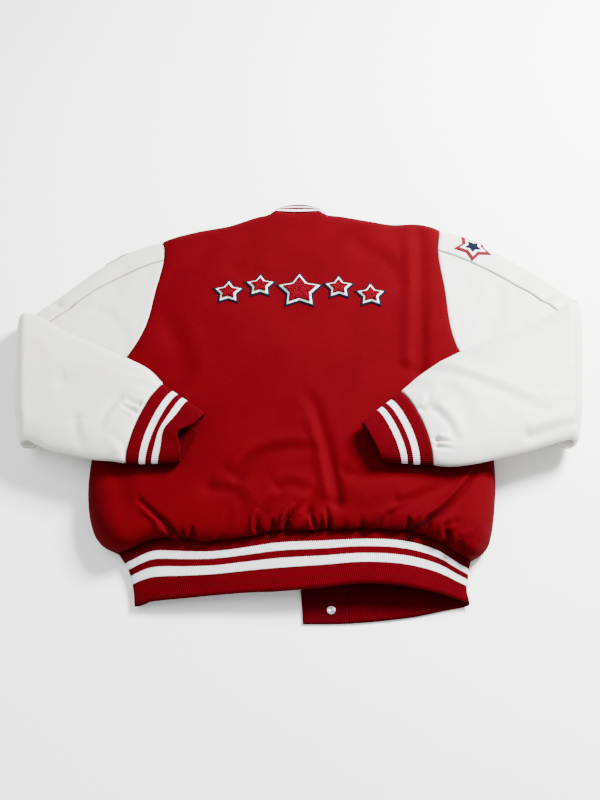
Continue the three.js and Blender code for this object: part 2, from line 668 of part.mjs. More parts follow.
// A flat plate of felt or pile: place turns its own coordinates and a height into a point
function plate(outline, place, low, high, rim) {
  const scales = [0.5, 1];
  const points = [place(0, 0, high), place(0, 0, low)];
  const count = outline.length;
  scales.forEach((scale) => {
    const top = scale === 1 ? rim : scale;
    outline.forEach(([u, v]) => points.push(place(u * top, v * top, high)));
    outline.forEach(([u, v]) => points.push(place(u * scale, v * scale, low)));
  });
  const at = (ringNumber, face, k) => 2 + (ringNumber * 2 + face) * count + (k % count);
  const index = [];
  for (let k = 0; k < count; k += 1) {
    index.push(0, at(0, 0, k), at(0, 0, k + 1));
    index.push(1, at(0, 1, k + 1), at(0, 1, k));
    index.push(at(0, 0, k), at(1, 0, k), at(1, 0, k + 1), at(0, 0, k), at(1, 0, k + 1), at(0, 0, k + 1));
    index.push(at(0, 1, k), at(1, 1, k + 1), at(1, 1, k), at(0, 1, k), at(0, 1, k + 1), at(1, 1, k + 1));
    index.push(at(1, 0, k), at(1, 1, k), at(1, 1, k + 1), at(1, 0, k), at(1, 1, k + 1), at(1, 0, k + 1));
  }
  return faceOut(points, index);
}

const starPoints = 5;
const innerShare = 0.56;

function star(radius, tilt) {
  return Array.from({ length: starPoints * 2 }, (_, k) => {
    const reach = k % 2 === 0 ? radius : radius * innerShare;
    const angle = radians(tilt + (k * 180) / starPoints);
    return [reach * Math.cos(angle), reach * Math.sin(angle)];
  });
}

// Layers of a star: felt border, felt edging and a raised middle
const borderStep = 6;
const pileRim = 0.93;

// A row of five plain stars across the shoulders
const motif = { y: 188, felt: 1.2, pile: 2.8 };
const motifStars = [
  { x: -118, drop: 5, radius: 29 },
  { x: -66, drop: -9, radius: 29 },
  { x: -1, drop: 2, radius: 42 },
  { x: 64, drop: -5, radius: 29 },
  { x: 116, drop: 11, radius: 29 },
];
motifStars.forEach(({ x, drop, radius }, k) => {
  const centreY = motif.y - drop;
  const place = (u, v, h) => vec(x + u, centreY + v, backHeight(x + u, centreY + v) + h);
  const layer = (name, inset, low, thick, look, rim) => {
    const outline = star(radius - inset * borderStep, 90);
    addPiece(`motif_${name}_${k + 1}`, plate(outline, place, low, low + thick, rim), look);
  };
  const second = motif.felt + 2 * restGap;
  layer("base", 0, restGap, motif.felt, navyFelt, 1);
  layer("edging", 1, second, motif.felt, whiteFelt, 1);
  layer("star", 2, second + motif.felt + restGap, motif.pile, redPile, pileRim);
});

// Star patches on the upper arms, cut out of sheets that follow the leather
const wasm = await Module();
wasm.setup();

function toSolid(geometry) {
  const bare = geometry.clone();
  bare.deleteAttribute("normal");
  bare.deleteAttribute("uv");
  const merged = mergeVertices(bare);
  const vertProperties = Float32Array.from(merged.attributes.position.array);
  const triVerts = Uint32Array.from(merged.index.array);
  return new wasm.Manifold(new wasm.Mesh({ numProp: 3, vertProperties, triVerts }));
}

function toGeometry(solid) {
  const mesh = solid.getMesh();
  const geometry = new THREE.BufferGeometry();
  geometry.setAttribute("position", new THREE.BufferAttribute(mesh.vertProperties, 3));
  geometry.setIndex(new THREE.BufferAttribute(mesh.triVerts, 1));
  geometry.computeVertexNormals();
  return geometry;
}

const patchStations = [0, 1, 2, 3];
const patchStep = 10;

function addPatch(name, tube) {
  const patch = patches[name];
  const count = patch.below + backSeam + 1;
  const columns = Array.from({ length: count }, (_, k) => (k - patch.below + ring.length) % ring.length);
  const layers = [
    { layer: "border", look: redPile },
    { layer: "edging", look: whiteFelt },
    { layer: "star", look: navyFelt },
  ];
  layers.forEach(({ layer, look }, k) => {
    const low = restGap + k * (motif.felt + restGap);
    const high = low + motif.felt;
    const sheet = patchStations.map((i) => columns.map((j) => {
      const { p, inward } = tube[i][j];
      return { p: p.clone().addScaledVector(inward, -high), inward };
    }));
    const corners = star(patchRadius - k * patchStep, patchTilt);
    const outline = new THREE.Shape(corners.map(([u, v]) => new THREE.Vector2(patch.x + u, patch.y + v)));
    const cutter = new THREE.ExtrudeGeometry(outline, { depth: patch.high - patch.low, bevelEnabled: false });
    cutter.translate(0, 0, patch.low);
    const solid = toSolid(wall(sheet, motif.felt)).intersect(toSolid(cutter));
    addPiece(`patch_${layer}_${name}`, toGeometry(solid), look);
  });
}
Object.entries(tubes).forEach(([name, tube]) => addPatch(name, tube));

// Snap backs on the inside of the right front, and sockets on the inside of the left front
const snap = { radius: 6.1, height: 1.3, edge: 0.8, rim: 5, dish: 2.6, floor: 2.1, dip: 0.6, sides: 12 };
const snapProfile = [
  [0, 0],
  [snap.radius, 0],
  [snap.radius, snap.edge],
  [snap.rim, snap.height],
  [snap.dish, snap.height],
  [snap.floor, snap.dip],
  [0, snap.dip],
].map(([x, y]) => new THREE.Vector2(x, y));
const snapCount = 7;
const snapRows = {
  right: { first: -342, last: 268, inset: 40 },
  left: { first: -272, last: 268, inset: -18 },
};

function addSnaps(name, lift) {
  const row = snapRows[name];
  for (let k = 0; k < snapCount; k += 1) {
    const y = mix(row.first, row.last, k / (snapCount - 1));
    const x = edgeX(name, y) + row.inset;
    const mesh = addPiece(`snap_${name}_${k + 1}`, new THREE.LatheGeometry(snapProfile, snap.sides), steel);
    mesh.rotation.x = Math.PI / 2;
    mesh.position.set(x, y, lift(x, y) + woolWall + restGap);
  }
}
addSnaps("right", lapLift);
addSnaps("left", flat);

export default jacket;
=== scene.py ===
import math

import bmesh
import bpy
import numpy as np
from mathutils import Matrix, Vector


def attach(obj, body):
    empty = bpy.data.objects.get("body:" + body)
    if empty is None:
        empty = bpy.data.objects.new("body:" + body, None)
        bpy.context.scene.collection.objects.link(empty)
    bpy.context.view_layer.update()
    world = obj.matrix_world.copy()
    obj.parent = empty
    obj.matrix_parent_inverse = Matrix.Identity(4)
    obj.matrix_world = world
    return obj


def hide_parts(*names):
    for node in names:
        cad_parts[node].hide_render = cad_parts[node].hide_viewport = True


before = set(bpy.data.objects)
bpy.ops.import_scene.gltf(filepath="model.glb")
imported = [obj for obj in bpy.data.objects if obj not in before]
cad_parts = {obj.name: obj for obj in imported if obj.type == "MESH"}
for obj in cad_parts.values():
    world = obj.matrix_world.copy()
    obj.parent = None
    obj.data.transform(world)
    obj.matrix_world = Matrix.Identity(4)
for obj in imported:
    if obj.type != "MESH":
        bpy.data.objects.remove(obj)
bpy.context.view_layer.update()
print("frame loaded")

# Camera at the photograph's angle, with the middle of the image on the origin
view = {"elevation": 58, "distance": 1.419, "lens": 40.5, "sensor": 36}


def placeCamera():
    tilt = math.radians(view["elevation"])
    data = bpy.data.cameras.new("photoCamera")
    data.lens = view["lens"]
    data.sensor_width = view["sensor"]
    camera = bpy.data.objects.new("photoCamera", data)
    camera.location = (0, -view["distance"] * math.cos(tilt), view["distance"] * math.sin(tilt))
    camera.rotation_euler = (math.pi / 2 - tilt, 0, 0)
    bpy.context.scene.collection.objects.link(camera)
    bpy.context.scene.camera = camera


lamps = {
    "key": {"place": (1.2, 0.95, 1.35), "size": 0.7, "power": 270, "colour": (1, 0.99, 0.97)},
    "fill": {"place": (-1.3, 0.2, 1.6), "size": 1.6, "power": 30, "colour": (0.97, 0.98, 1)},
    "low": {"place": (0.3, -1.5, 0.9), "size": 1.4, "power": 7, "colour": (1, 1, 1)},
}
worldLight = {"colour": (1, 1, 1, 1), "strength": 0.7}


def placeLights():
    for name, lamp in lamps.items():
        data = bpy.data.lights.new(name, "AREA")
        data.size = lamp["size"]
        data.energy = lamp["power"]
        data.color = lamp["colour"]
        light = bpy.data.objects.new(name, data)
        light.location = lamp["place"]
        light.rotation_euler = (-Vector(lamp["place"])).to_track_quat("-Z", "Y").to_euler()
        bpy.context.scene.collection.objects.link(light)
    world = bpy.data.worlds.new("studio")
    world.use_nodes = True
    background = world.node_tree.nodes["Background"]
    background.inputs["Color"].default_value = worldLight["colour"]
    background.inputs["Strength"].default_value = worldLight["strength"]
    bpy.context.scene.world = world


placeCamera()
placeLights()
print("camera and lights placed")

# Maths on numbers and arrays; the jacket's own sizes are in millimetres until a mesh is made
mm = 0.001
up, down = np.array([0, 0, 1]), np.array([0, 0, -1])
mix = lambda a, b, share: a + (b - a) * share
clamp = lambda value: np.clip(value, 0, 1)
smooth = lambda value: clamp(value) ** 2 * (3 - 2 * clamp(value))
roll = lambda distance, radius: np.sin(np.arccos(1 - clamp(distance / radius)))
bell = lambda value: np.exp(-value * value)


def table(names, *rows):
    return [dict(zip(names.split(), row)) for row in rows]


# Reads a column of a short table as a smooth curve through its rows
def read(rows, key, column, value):
    x = np.array([row[key] for row in rows], float)
    y = np.array([row[column] for row in rows], float)
    value = np.asarray(value, float)
    last = len(x) - 1
    i = np.searchsorted(x[1:-1], value)
    before, after = np.maximum(np.arange(last + 1) - 1, 0), np.minimum(np.arange(last + 1) + 1, last)
    slope = (y[after] - y[before]) / (x[after] - x[before])
    span = x[i + 1] - x[i]
    t = clamp((value - x[i]) / span)
    rise, start, end = y[i + 1] - y[i], slope[i] * span, slope[i + 1] * span
    return y[i] + t * start + t * t * (3 * rise - 2 * start - end) + t ** 3 * (start + end - 2 * rise)


# Creases: each runs from a through b to c, with its depth, its width and the ridge on its left side. Where
# creases meet, the deepest counts. A negative depth is a soft ridge. The lip is placed in crease widths.
creaseRow = "ax ay bx by cx cy depth width lip fade"
creaseSteps = 12
lip = {"at": 1.5, "width": 1.1, "ease": 0.12}


def creaseParts(creases, x, y):
    soft = np.zeros(np.broadcast(x, y).shape)
    trough, ridge = soft.copy(), soft.copy()
    t = np.linspace(0, 1, creaseSteps + 1)
    for crease in creases:
        ax, ay, bx, by, cx, cy = (crease[k] for k in ("ax", "ay", "bx", "by", "cx", "cy"))
        mx, my = 2 * bx - (ax + cx) / 2, 2 * by - (ay + cy) / 2
        px = (1 - t) ** 2 * ax + 2 * t * (1 - t) * mx + t * t * cx
        py = (1 - t) ** 2 * ay + 2 * t * (1 - t) * my + t * t * cy
        best = np.full(soft.shape, 1e9)
        side = np.zeros(soft.shape)
        along = np.zeros(soft.shape)
        for k in range(creaseSteps):
            dx, dy = px[k + 1] - px[k], py[k + 1] - py[k]
            s = clamp(((x - px[k]) * dx + (y - py[k]) * dy) / (dx * dx + dy * dy))
            ox, oy = x - px[k] - s * dx, y - py[k] - s * dy
            off = np.hypot(ox, oy)
            near = off < best
            best = np.where(near, off, best)
            side = np.where(near, np.sign(dx * oy - dy * ox), side)
            along = np.where(near, (k + s) / creaseSteps, along)
        off = best * side / crease["width"]
        depth = crease["depth"] * mix(1, crease["fade"], along)
        if depth.max() > 0:
            trough = np.maximum(trough, depth * bell(off))
            inner = smooth(along / lip["ease"]) * smooth((1 - along) / lip["ease"])
            beside = bell((off - lip["at"]) / lip["width"])
            ridge = np.maximum(ridge, depth * crease["lip"] * beside * inner)
        else:
            soft += depth * bell(off)
    return trough, ridge, soft


def creaseDepth(creases, x, y):
    trough, ridge, soft = creaseParts(creases, x, y)
    return trough - ridge + soft


# Painted shade: how far the colour of the nap or the leather is darkened in a crease, fully where the crease
# is deeper than its full depth
creaseShade = lambda creases, x, y, full: clamp(creaseParts(creases, x, y)[0] / full) ** 3


# Pieces start as a flat grid, whose points then go where the cloth lies
def normalsOf(points, loop=False):
    along = np.roll(points, -1, 1) - np.roll(points, 1, 1) if loop else np.gradient(points, axis=1)
    across = np.cross(np.gradient(points, axis=0), along)
    size = np.linalg.norm(across, axis=2, keepdims=True)
    return across / np.maximum(size, 1e-9)


def lengthsOf(points, axis):
    steps = np.linalg.norm(np.diff(points, axis=axis), axis=2).mean(axis=1 - axis)
    return np.concatenate([[0], np.cumsum(steps)])


def makeMesh(name, shell):
    mesh = bpy.data.meshes.new(name)
    shell.to_mesh(mesh)
    shell.free()
    return mesh


def pointsOf(mesh):
    flat = np.empty(len(mesh.vertices) * 3)
    mesh.vertices.foreach_get("co", flat)
    return flat.reshape(-1, 3)


def addCloth(name, points, wall, paint, closed=False, uv=None, lining=None, shade=None):
    rows, cols = points.shape[:2]
    shell = bmesh.new()
    shell.loops.layers.uv.new("cloth")
    bmesh.ops.create_grid(shell, x_segments=cols - 1, y_segments=rows - 1, size=1, calc_uvs=True)
    mesh = makeMesh(name, shell)
    flat = pointsOf(mesh)
    col = np.rint((flat[:, 0] + 1) / 2 * (cols - 1)).astype(int)
    row = np.rint((1 - flat[:, 1]) / 2 * (rows - 1)).astype(int)
    mesh.vertices.foreach_set("co", (points[row, col] * mm).ravel())
    u, v = uv if uv is not None else (lengthsOf(points, 1), lengthsOf(points, 0))
    corner = np.empty(len(mesh.loops), int)
    mesh.loops.foreach_get("vertex_index", corner)
    places = np.stack([u[col[corner]], v[row[corner]]], axis=1) * mm
    mesh.uv_layers["cloth"].data.foreach_set("uv", places.ravel())
    if shade is not None:
        mesh.attributes.new("shade", "FLOAT", "POINT").data.foreach_set("value", shade[row, col])
    if closed:
        shell = bmesh.new()
        shell.from_mesh(mesh)
        bmesh.ops.remove_doubles(shell, verts=shell.verts, dist=1e-5)
        shell.to_mesh(mesh)
        shell.free()
    return finishPiece(name, mesh, paint, wall, lining)


def finishPiece(name, mesh, paint, wall=0, lining=None):
    for face in mesh.polygons:
        face.use_smooth = True
    piece = bpy.data.objects.new(name, mesh)
    bpy.context.scene.collection.objects.link(piece)
    mesh.materials.append(paint)
    if wall:
        solid = piece.modifiers.new("wall", "SOLIDIFY")
        solid.thickness = wall * mm
        solid.offset = -1
        solid.use_even_offset = False
        solid.use_quality_normals = True
        if lining:
            mesh.materials.append(lining)
            solid.material_offset = 1
            solid.material_offset_rim = 1
    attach(piece, "root")
    return piece


# Turns the faces of a grid so that its outside is on the side asked for
def outward(points, toOutside):
    facing = (normalsOf(points) * toOutside).sum()
    return points if facing > 0 else points[:, ::-1]


# Walls of the cloth, and the heights and roundings of the body as it lies
walls = {"wool": 2.6, "leather": 2.0, "rib": 2.6}
lie = {
    "sideSeamZ": 14, "hemSideZ": 8, "hemShare": 0.14, "shoulderZ": 15, "neckZ": 33, "backRound": 42,
    "frontRound": 13, "shoulderRound": 28, "puffReach": 20, "puffStart": 40, "foldZ": 34, "foldReach": 0.55,
}

# Outline of the body: the side seam up to the underarm, then the armhole
sides = {
    "left": {"inward": 1, "underarm": 22, "outline": table(
        "y x", (-263, -256), (-250, -282), (-232, -295), (-200, -305), (-150, -311), (-60, -309),
        (22, -303), (62, -272), (117, -249), (190, -239), (260, -231), (313, -240))},
    "right": {"inward": -1, "underarm": 15, "outline": table(
        "y x", (-274, 240), (-260, 262), (-240, 272), (-200, 281), (-150, 288), (-60, 291),
        (15, 289), (62, 256), (111, 243), (190, 240), (275, 236), (341, 246))},
}
armhole = table(
    "w back front", (0, 15, 15), (0.015, 21, 6), (0.06, 30, 0.5), (0.19, 36, 0), (0.5, 38.5, 0),
    (0.81, 37, 0), (0.94, 29, 1.5), (0.985, 20, 7.5), (1, 14, 14))
shoulderLine = table(
    "x y", (-240, 313), (-175, 334), (-123, 347), (-64, 371), (-5, 369), (54, 372), (115, 360),
    (160, 350), (207, 351), (246, 341))
neck = {"middle": -5, "half": 59, "drop": 86, "blend": 22}
backHem = table(
    "x seam edge seamZ edgeZ", (-256, -263, -342, 20, 8), (-236, -258, -339, 24, 10),
    (-205, -246, -334, 28, 13), (-161, -249, -331, 31, 17), (-121, -251, -328, 33, 20),
    (-75, -245, -325, 34, 23), (-30, -237, -324, 35, 26), (34, -235, -319, 35, 29),
    (80, -233, -314, 34, 30), (126, -233, -315, 33, 29), (159, -237, -319, 31, 26),
    (192, -248, -325, 28, 20), (220, -266, -331, 24, 13), (240, -274, -335, 20, 9))
leftHem = table(
    "x seam edge", (-256, -263, -342), (-227, -254, -338), (-190, -245, -322), (-140, -238, -309),
    (-60, -233, -303), (70, -232, -302))
rightHem = table(
    "x seam edge", (-5, -292, -361), (70, -291, -360), (150, -287, -352), (205, -280, -341),
    (240, -274, -335))
frontEdge = {"left": 62, "right": 4, "skew": -0.0625, "from": -360}
lap = {"height": 4.9, "run": 34, "start": 6, "ends": -300, "fall": 32}

# Crown of the back, then its gathers and creases, longest first
crown = table(
    "y z", (-274, 49), (-235, 50.5), (-190, 48.5), (-150, 45), (-110, 44), (0, 43), (200, 40), (371, 37))
backCreases = table(
    creaseRow,
    (-152, -256, -184, -236, -229, -196, 12, 4, 0.6, 0.4),
    (-162, -252, -178, -240, -191, -228, 8, 3.6, 0.5, 0.3),
    (-112, -254, -104, -238, -96, -212, 3, 7, 0.3, 0.2),
    (-38, -246, -61, -235, -51, -214, 11, 3.4, 0.6, 0.5),
    (-51, -214, -40, -200, -20, -192, 5, 7, 0.5, 0),
    (-17, -244, -21, -228, 0, -208, 12, 3.4, 0.7, 0.5),
    (0, -208, 10, -200, 22, -196, 5, 6, 0.4, 0),
    (30, -240, 22, -231, 13, -216, 11, 3.2, 0.6, 0.5),
    (41, -240, 40, -230, 37, -212, 11, 3.2, 0.5, 0.3),
    (12, -218, 12, -202, 26, -180, 6, 7, 0.5, 0.1),
    (54, -200, 44, -130, 22, -36, 8, 9, 0.7, 0.35),
    (22, -36, 12, -20, 0, -4, 2.8, 10, 0.3, 0.1),
    (-90, -158, -50, -118, 20, -112, 6, 10, 0.7, 0.4),
    (-29, -176, -10, -172, 18, -186, 4, 9, 0.5, 0.4),
    (-130, -178, -90, -188, -80, -220, 4, 10, 0.5, 0.3),
    (62, -149, 84, -156, 108, -153, 3, 10, 0.4, 0.3),
    (88, -240, 120, -222, 160, -200, 9, 4, 0.6, 0.3),
    (140, -204, 180, -186, 216, -172, 4, 8, 0.6, 0.2),
    (153, -243, 206, -207, 254, -150, 12, 4, 0.7, 0.3),
    (206, -246, 202, -238, 218, -230, 8, 4, 0.5, 0.3),
    (222, -262, 234, -256, 244, -244, 6, 5.5, 0.5, 0.3),
    (187, 26, 196, 140, 208, 330, 6.5, 12, 0.8, 0.5),
    (97, 292, 140, 256, 168, 205, 2.6, 16, 0.4, 0.6),
    (-214, 122, -182, 40, -200, -10, 3.6, 18, 0.4, 0.4),
    (-150, 60, -60, 90, 40, 80, -2, 40, 0, 0.6),
    (90, -190, 130, -170, 190, -150, -3, 16, 0, 0.5),
    (-250, -90, -262, -130, -250, -200, 4, 16, 0.3, 0.7),
    (-110, 232, -60, 222, 20, 228, 1.6, 14, 0.3, 0.6))

# How far each gather draws the overhang in, along the hem seam
gathers = table(
    "x depth width", (-187, 4, 9), (-165, 5, 4.5), (-151, 11, 5), (-112, 3, 7), (-80, 2, 5), (-57, 4, 4),
    (-39, 11, 4.5), (-18, 12, 4.5), (2, 2, 4), (30, 9, 3.6), (41, 10, 3.6), (61, 3, 4.5), (87, 7, 5),
    (112, 2, 5), (152, 12, 5), (172, 2.4, 5), (205, 9, 4), (224, 6, 5.5))

edgeX = lambda name, y: frontEdge[name] + frontEdge["skew"] * (y - frontEdge["from"])
shoulderY = lambda x: read(shoulderLine, "x", "y", x)
inNeck = lambda x: 1 - smooth((abs(x - neck["middle"]) - neck["half"] + neck["blend"]) / neck["blend"])
outlineX = lambda name, y: read(sides[name]["outline"], "y", "x", y)
backHeight = lambda x, y: read(crown, "y", "z", y) - creaseDepth(backCreases, x, y)
noLift = lambda x, y: 0 * x

# Where a point of the waistband lies on the plan, from 0 at its seam to 1 at its lower edge
hemY = lambda hem, x, r: mix(read(hem, "x", "seam", x), read(hem, "x", "edge", x), r)


def lapLift(x, y):
    rise = 1 - smooth((x - edgeX("left", y) - lap["start"]) / lap["run"])
    return lap["height"] * rise * (1 - smooth((lap["ends"] - y) / lap["fall"]))


fronts = {
    "left": {"hem": leftHem, "lift": noLift, "tab": -2, "opening": "toX", "over": []},
    "right": {"hem": rightHem, "lift": lapLift, "tab": 67, "opening": "fromX", "over": ["leftFront"]},
}


def frontTop(x):
    reach = 1 - clamp(abs(x - neck["middle"]) / neck["half"])
    return shoulderY(x) - neck["drop"] * np.sin(np.arccos(1 - reach))


puffTop = lie["puffReach"] * math.cos(math.radians(lie["puffStart"]))


# Rows of the body: down the armhole, down the side seam, then round the puff above the hem seam
def bodyRows(armCount, sideCount, puffCount):
    arm = (1 - np.cos(np.linspace(0, math.pi, armCount))) / 2
    side = np.linspace(0, 1, sideCount + 1)[1:-1]
    puff = np.radians(np.linspace(90, -lie["puffStart"], puffCount))
    spare = lambda rows: np.full(len(rows), np.nan)
    return {
        "arm": np.concatenate([arm, spare(side), spare(puff)]),
        "side": np.concatenate([spare(arm), side, spare(puff)]),
        "puff": np.concatenate([spare(arm), spare(side), puff]),
    }


def edgeAt(name, rows):
    outline = sides[name]["outline"]
    corner, tip, underarm = outline[0]["y"], outline[-1]["y"], sides[name]["underarm"]
    start = math.radians(lie["puffStart"])
    y = corner + puffTop * (rows["puff"] + start) / (math.pi / 2 + start)
    y = np.where(np.isnan(rows["arm"]), y, mix(tip, underarm, rows["arm"]))
    y = np.where(np.isnan(rows["side"]), y, mix(underarm, corner + puffTop, rows["side"]))
    return y[:, None], outlineX(name, y)[:, None], ((y - corner) / (tip - corner))[:, None]


# Columns of the body: a quarter-round at each side seam that it has, and even shares between
def bodyColumns(rollCount, middle, left=True, right=True):
    turn = np.radians(np.linspace(0, 90, rollCount + 1)[:-1])
    kinds = np.concatenate([-np.ones(len(turn) * left), np.zeros(len(middle)), np.ones(len(turn) * right)])
    turns = np.concatenate([turn[: len(turn) * left], np.full(len(middle), math.pi / 2),
                            turn[::-1][: len(turn) * right]])
    shares = np.concatenate([np.zeros(len(turn) * left), middle, np.zeros(len(turn) * right)])
    return kinds[None], turns[None], shares[None]


def bodySurface(face, rows, columns, hem, top, fromX=None, toX=None, lift=noLift):
    kinds, turns, shares = columns
    leftY, leftX, leftShare = edgeAt("left", rows)
    rightY, rightX, rightShare = edgeAt("right", rows)
    radius = lie["backRound"] if face == "back" else lie["frontRound"]
    low = fromX(leftY) if fromX else leftX + radius
    high = toX(rightY) if toX else rightX - radius
    x = mix(low, high, shares)
    x = np.where(kinds < 0, leftX + radius * (1 - np.cos(turns)), x)
    x = np.where(kinds > 0, rightX - radius * (1 - np.cos(turns)), x)
    cover = np.where(kinds == 0, 1, np.sin(turns)) + 0 * x
    share = mix(leftShare, rightShare, clamp((x - leftX) / (rightX - leftX)))
    topY = top(x)
    y = mix(read(hem, "x", "seam", x), topY, share)
    sideZ = mix(lie["hemSideZ"], lie["sideSeamZ"], smooth(share / lie["hemShare"]))
    arm = rows["arm"][:, None]
    armZ = np.maximum(0, read(armhole, "w", face, np.nan_to_num(arm)))
    edgeZ = np.where(np.isnan(arm), sideZ, armZ)
    if face == "front":
        onShoulder = abs(x - neck["middle"]) > neck["half"]
        atShoulder = lie["shoulderZ"] * onShoulder * (1 - roll(shoulderY(x) - y, lie["frontRound"]))
        return np.stack([x, y, np.maximum(0, mix(edgeZ, atShoulder, cover)) + lift(x, y)], axis=2)
    full = mix(mix(lie["shoulderZ"], lie["neckZ"], inNeck(x)), backHeight(x, y),
               roll(topY - y, lie["shoulderRound"]))
    puff = np.nan_to_num(rows["puff"][:, None])
    onPuff = ~np.isnan(rows["puff"][:, None])
    start = math.radians(lie["puffStart"])
    left = (puff + start) / (math.pi / 2 + start)
    rise = (np.sin(puff) + math.sin(start)) / (1 + math.sin(start))
    drawn = sum(g["depth"] * bell((x - g["x"]) / g["width"]) for g in gathers)
    puffed = puffTop - lie["puffReach"] * np.cos(puff) + drawn * np.sin(math.pi * left)
    y = np.where(onPuff, y + (puffed - puffTop * left) * cover, y)
    full = np.where(onPuff, mix(read(hem, "x", "seamZ", x), full, rise), full)
    return np.stack([x, y, mix(edgeZ, full, cover)], axis=2)


# How near the points of a sheet are to its edges: 1 on an edge and 0 away from it
def edgeNearness(points, width, edges):
    along = {"top": 0, "bottom": 0, "left": 1, "right": 1}
    total = np.zeros(points.shape[:2])
    for edge in edges:
        steps = np.linalg.norm(np.diff(points, axis=along[edge]), axis=2)
        if along[edge] == 0:
            run = np.vstack([np.zeros((1, points.shape[1])), np.cumsum(steps, axis=0)])
        else:
            run = np.hstack([np.zeros((points.shape[0], 1)), np.cumsum(steps, axis=1)])
        if edge == "bottom":
            run = run[-1:, :] - run
        if edge == "right":
            run = run[:, -1:] - run
        total = np.maximum(total, bell(run / width))
    return total


# A sewn edge dips a little into the cloth, so that the seam reads as a line
def dipSeams(points, inside, width=4.0, depth=0.9, edges=("top", "bottom", "left", "right")):
    return points + normalsOf(points) * inside * depth * edgeNearness(points, width, edges)[:, :, None]


def addBody(name, points, toOutside, detail, edges, paint, creases=()):
    points = outward(dipSeams(points, toOutside * -1, edges=edges), detail)
    shade = creaseShade(creases, points[:, :, 0], points[:, :, 1], 10)
    return addCloth(name, points, walls["wool"], paint, shade=shade)


# The waistband runs from the right tab, round the back, to the left tab, ribbed all along
band = {
    "pitch": 2.8, "perRib": 5, "ridge": 0.45, "rows": 15, "lift": 3.2,
    "sides": table("r left right", (0, -256, 240), (0.35, -240, 235), (0.7, -231, 231), (1, -227, 233)),
}


def bandPath(r):
    edge = {name: float(read(band["sides"], "r", name, r)) for name in sides}
    turn = np.radians(np.linspace(0, 90, 13))
    topZ = lambda x: mix(read(backHem, "x", "seamZ", x), read(backHem, "x", "edgeZ", x) + band["lift"], r)

    def onFront(name, x):
        y = hemY(fronts[name]["hem"], x, r)
        return x, y, fronts[name]["lift"](x, y)

    def onRoll(name, turns, face):
        radius = lie["backRound"] if face == "back" else lie["frontRound"]
        x = edge[name] + sides[name]["inward"] * radius * (1 - np.cos(turns))
        y = hemY(backHem if face == "back" else fronts[name]["hem"], x, r)
        return x, y, mix(lie["hemSideZ"], topZ(x) if face == "back" else 0, np.sin(turns))

    inner = {name: edge[name] + sides[name]["inward"] * lie["frontRound"] for name in sides}
    across = np.linspace(edge["right"] - lie["backRound"], edge["left"] + lie["backRound"], 160)
    parts = [
        onFront("right", np.linspace(fronts["right"]["tab"], inner["right"], 60)[:-1]),
        onRoll("right", turn[::-1][:-1], "front"),
        onRoll("right", turn[:-1], "back"),
        (across, hemY(backHem, across, r), topZ(across)),
        onRoll("left", turn[::-1][1:], "back"),
        onRoll("left", turn[1:], "front"),
        onFront("left", np.linspace(inner["left"], fronts["left"]["tab"], 80)[1:]),
    ]
    return np.array([np.concatenate([part[k] for part in parts]) for k in range(3)]).T


# Spaces the points of a path evenly, a few to each rib
def evenly(path, count):
    run = np.concatenate([[0], np.cumsum(np.linalg.norm(np.diff(path, axis=0), axis=1))])
    at = np.linspace(0, run[-1], count)
    return np.array([np.interp(at, run, path[:, k]) for k in range(3)]).T


lengthOf = lambda path: np.linalg.norm(np.diff(path, axis=0), axis=1).sum()


# Points of a rib knit sheet along its paths, and how high each stands on its rib
def ribbed(paths, knit, length):
    count = round(length / knit["pitch"]) * knit["perRib"] + 1
    points = np.array([evenly(path, count) for path in paths])
    ridge = np.sqrt(np.abs(np.sin(math.pi * np.arange(count) / knit["perRib"])))
    return points, ridge[None, :, None] * knit["ridge"]


def ribUv(points, knit):
    return np.arange(points.shape[1]) / knit["perRib"] * knit["pitch"], lengthsOf(points, 0)


# Turns a rib sheet over where the columns about its middle face down
def faceUp(points, uv, reach):
    middle = points.shape[1] // 2
    if normalsOf(points)[:, middle - reach: middle + reach, 2].sum() < 0:
        return points[:, ::-1], (uv[0][::-1], uv[1])
    return points, uv


def bandPoints():
    paths = [bandPath(r) for r in np.linspace(0, 1, band["rows"])]
    points, ridge = ribbed(paths, band, lengthOf(paths[len(paths) // 2]))
    normals = normalsOf(points)
    normals *= np.sign((normals[:, :, 2] * (points[:, :, 2] - lie["hemSideZ"])).sum())
    return points + normals * (ridge - band["ridge"])


# The collar: a rib tube forward of the neckline, open at the centre front
collar = {
    "middle": -3, "half": 51, "y": 378, "back": 26, "front": 51, "side": 8, "rise": 9, "gap": 1.2,
    "pitch": 2.6, "perRib": 5, "ridge": 0.4, "rows": 15, "bow": 2.2,
}


def collarPath(share):
    angle = np.radians(np.linspace(-88, 268, 240))
    side, over = np.cos(angle), np.sin(angle)
    baseX = neck["middle"] + (neck["half"] - collar["gap"]) * side
    topX = collar["middle"] + collar["half"] * side
    topY = collar["y"] + over * np.where(over > 0, collar["back"], collar["front"])
    backBase = shoulderY(baseX) + collar["gap"]
    backZ = mix(lie["sideSeamZ"], lie["neckZ"], inNeck(baseX))
    backTopZ = collar["side"] + collar["rise"] * np.sqrt(np.maximum(over, 0))
    floor = 1 - np.maximum(-over, 0) ** 0.35
    frontBase = backBase + (neck["drop"] - collar["gap"]) * over
    baseY = np.where(over > 0, backBase, frontBase)
    baseZ = np.where(over > 0, backZ, lie["sideSeamZ"] * floor)
    topZ = np.where(over > 0, backTopZ, collar["side"] * floor)
    x, y, z = mix(baseX, topX, share), mix(baseY, topY, share), mix(baseZ, topZ, share)
    bow = collar["bow"] * np.sin(math.pi * share) * np.maximum(over, 0)
    return np.stack([x, y, z + bow], axis=1)


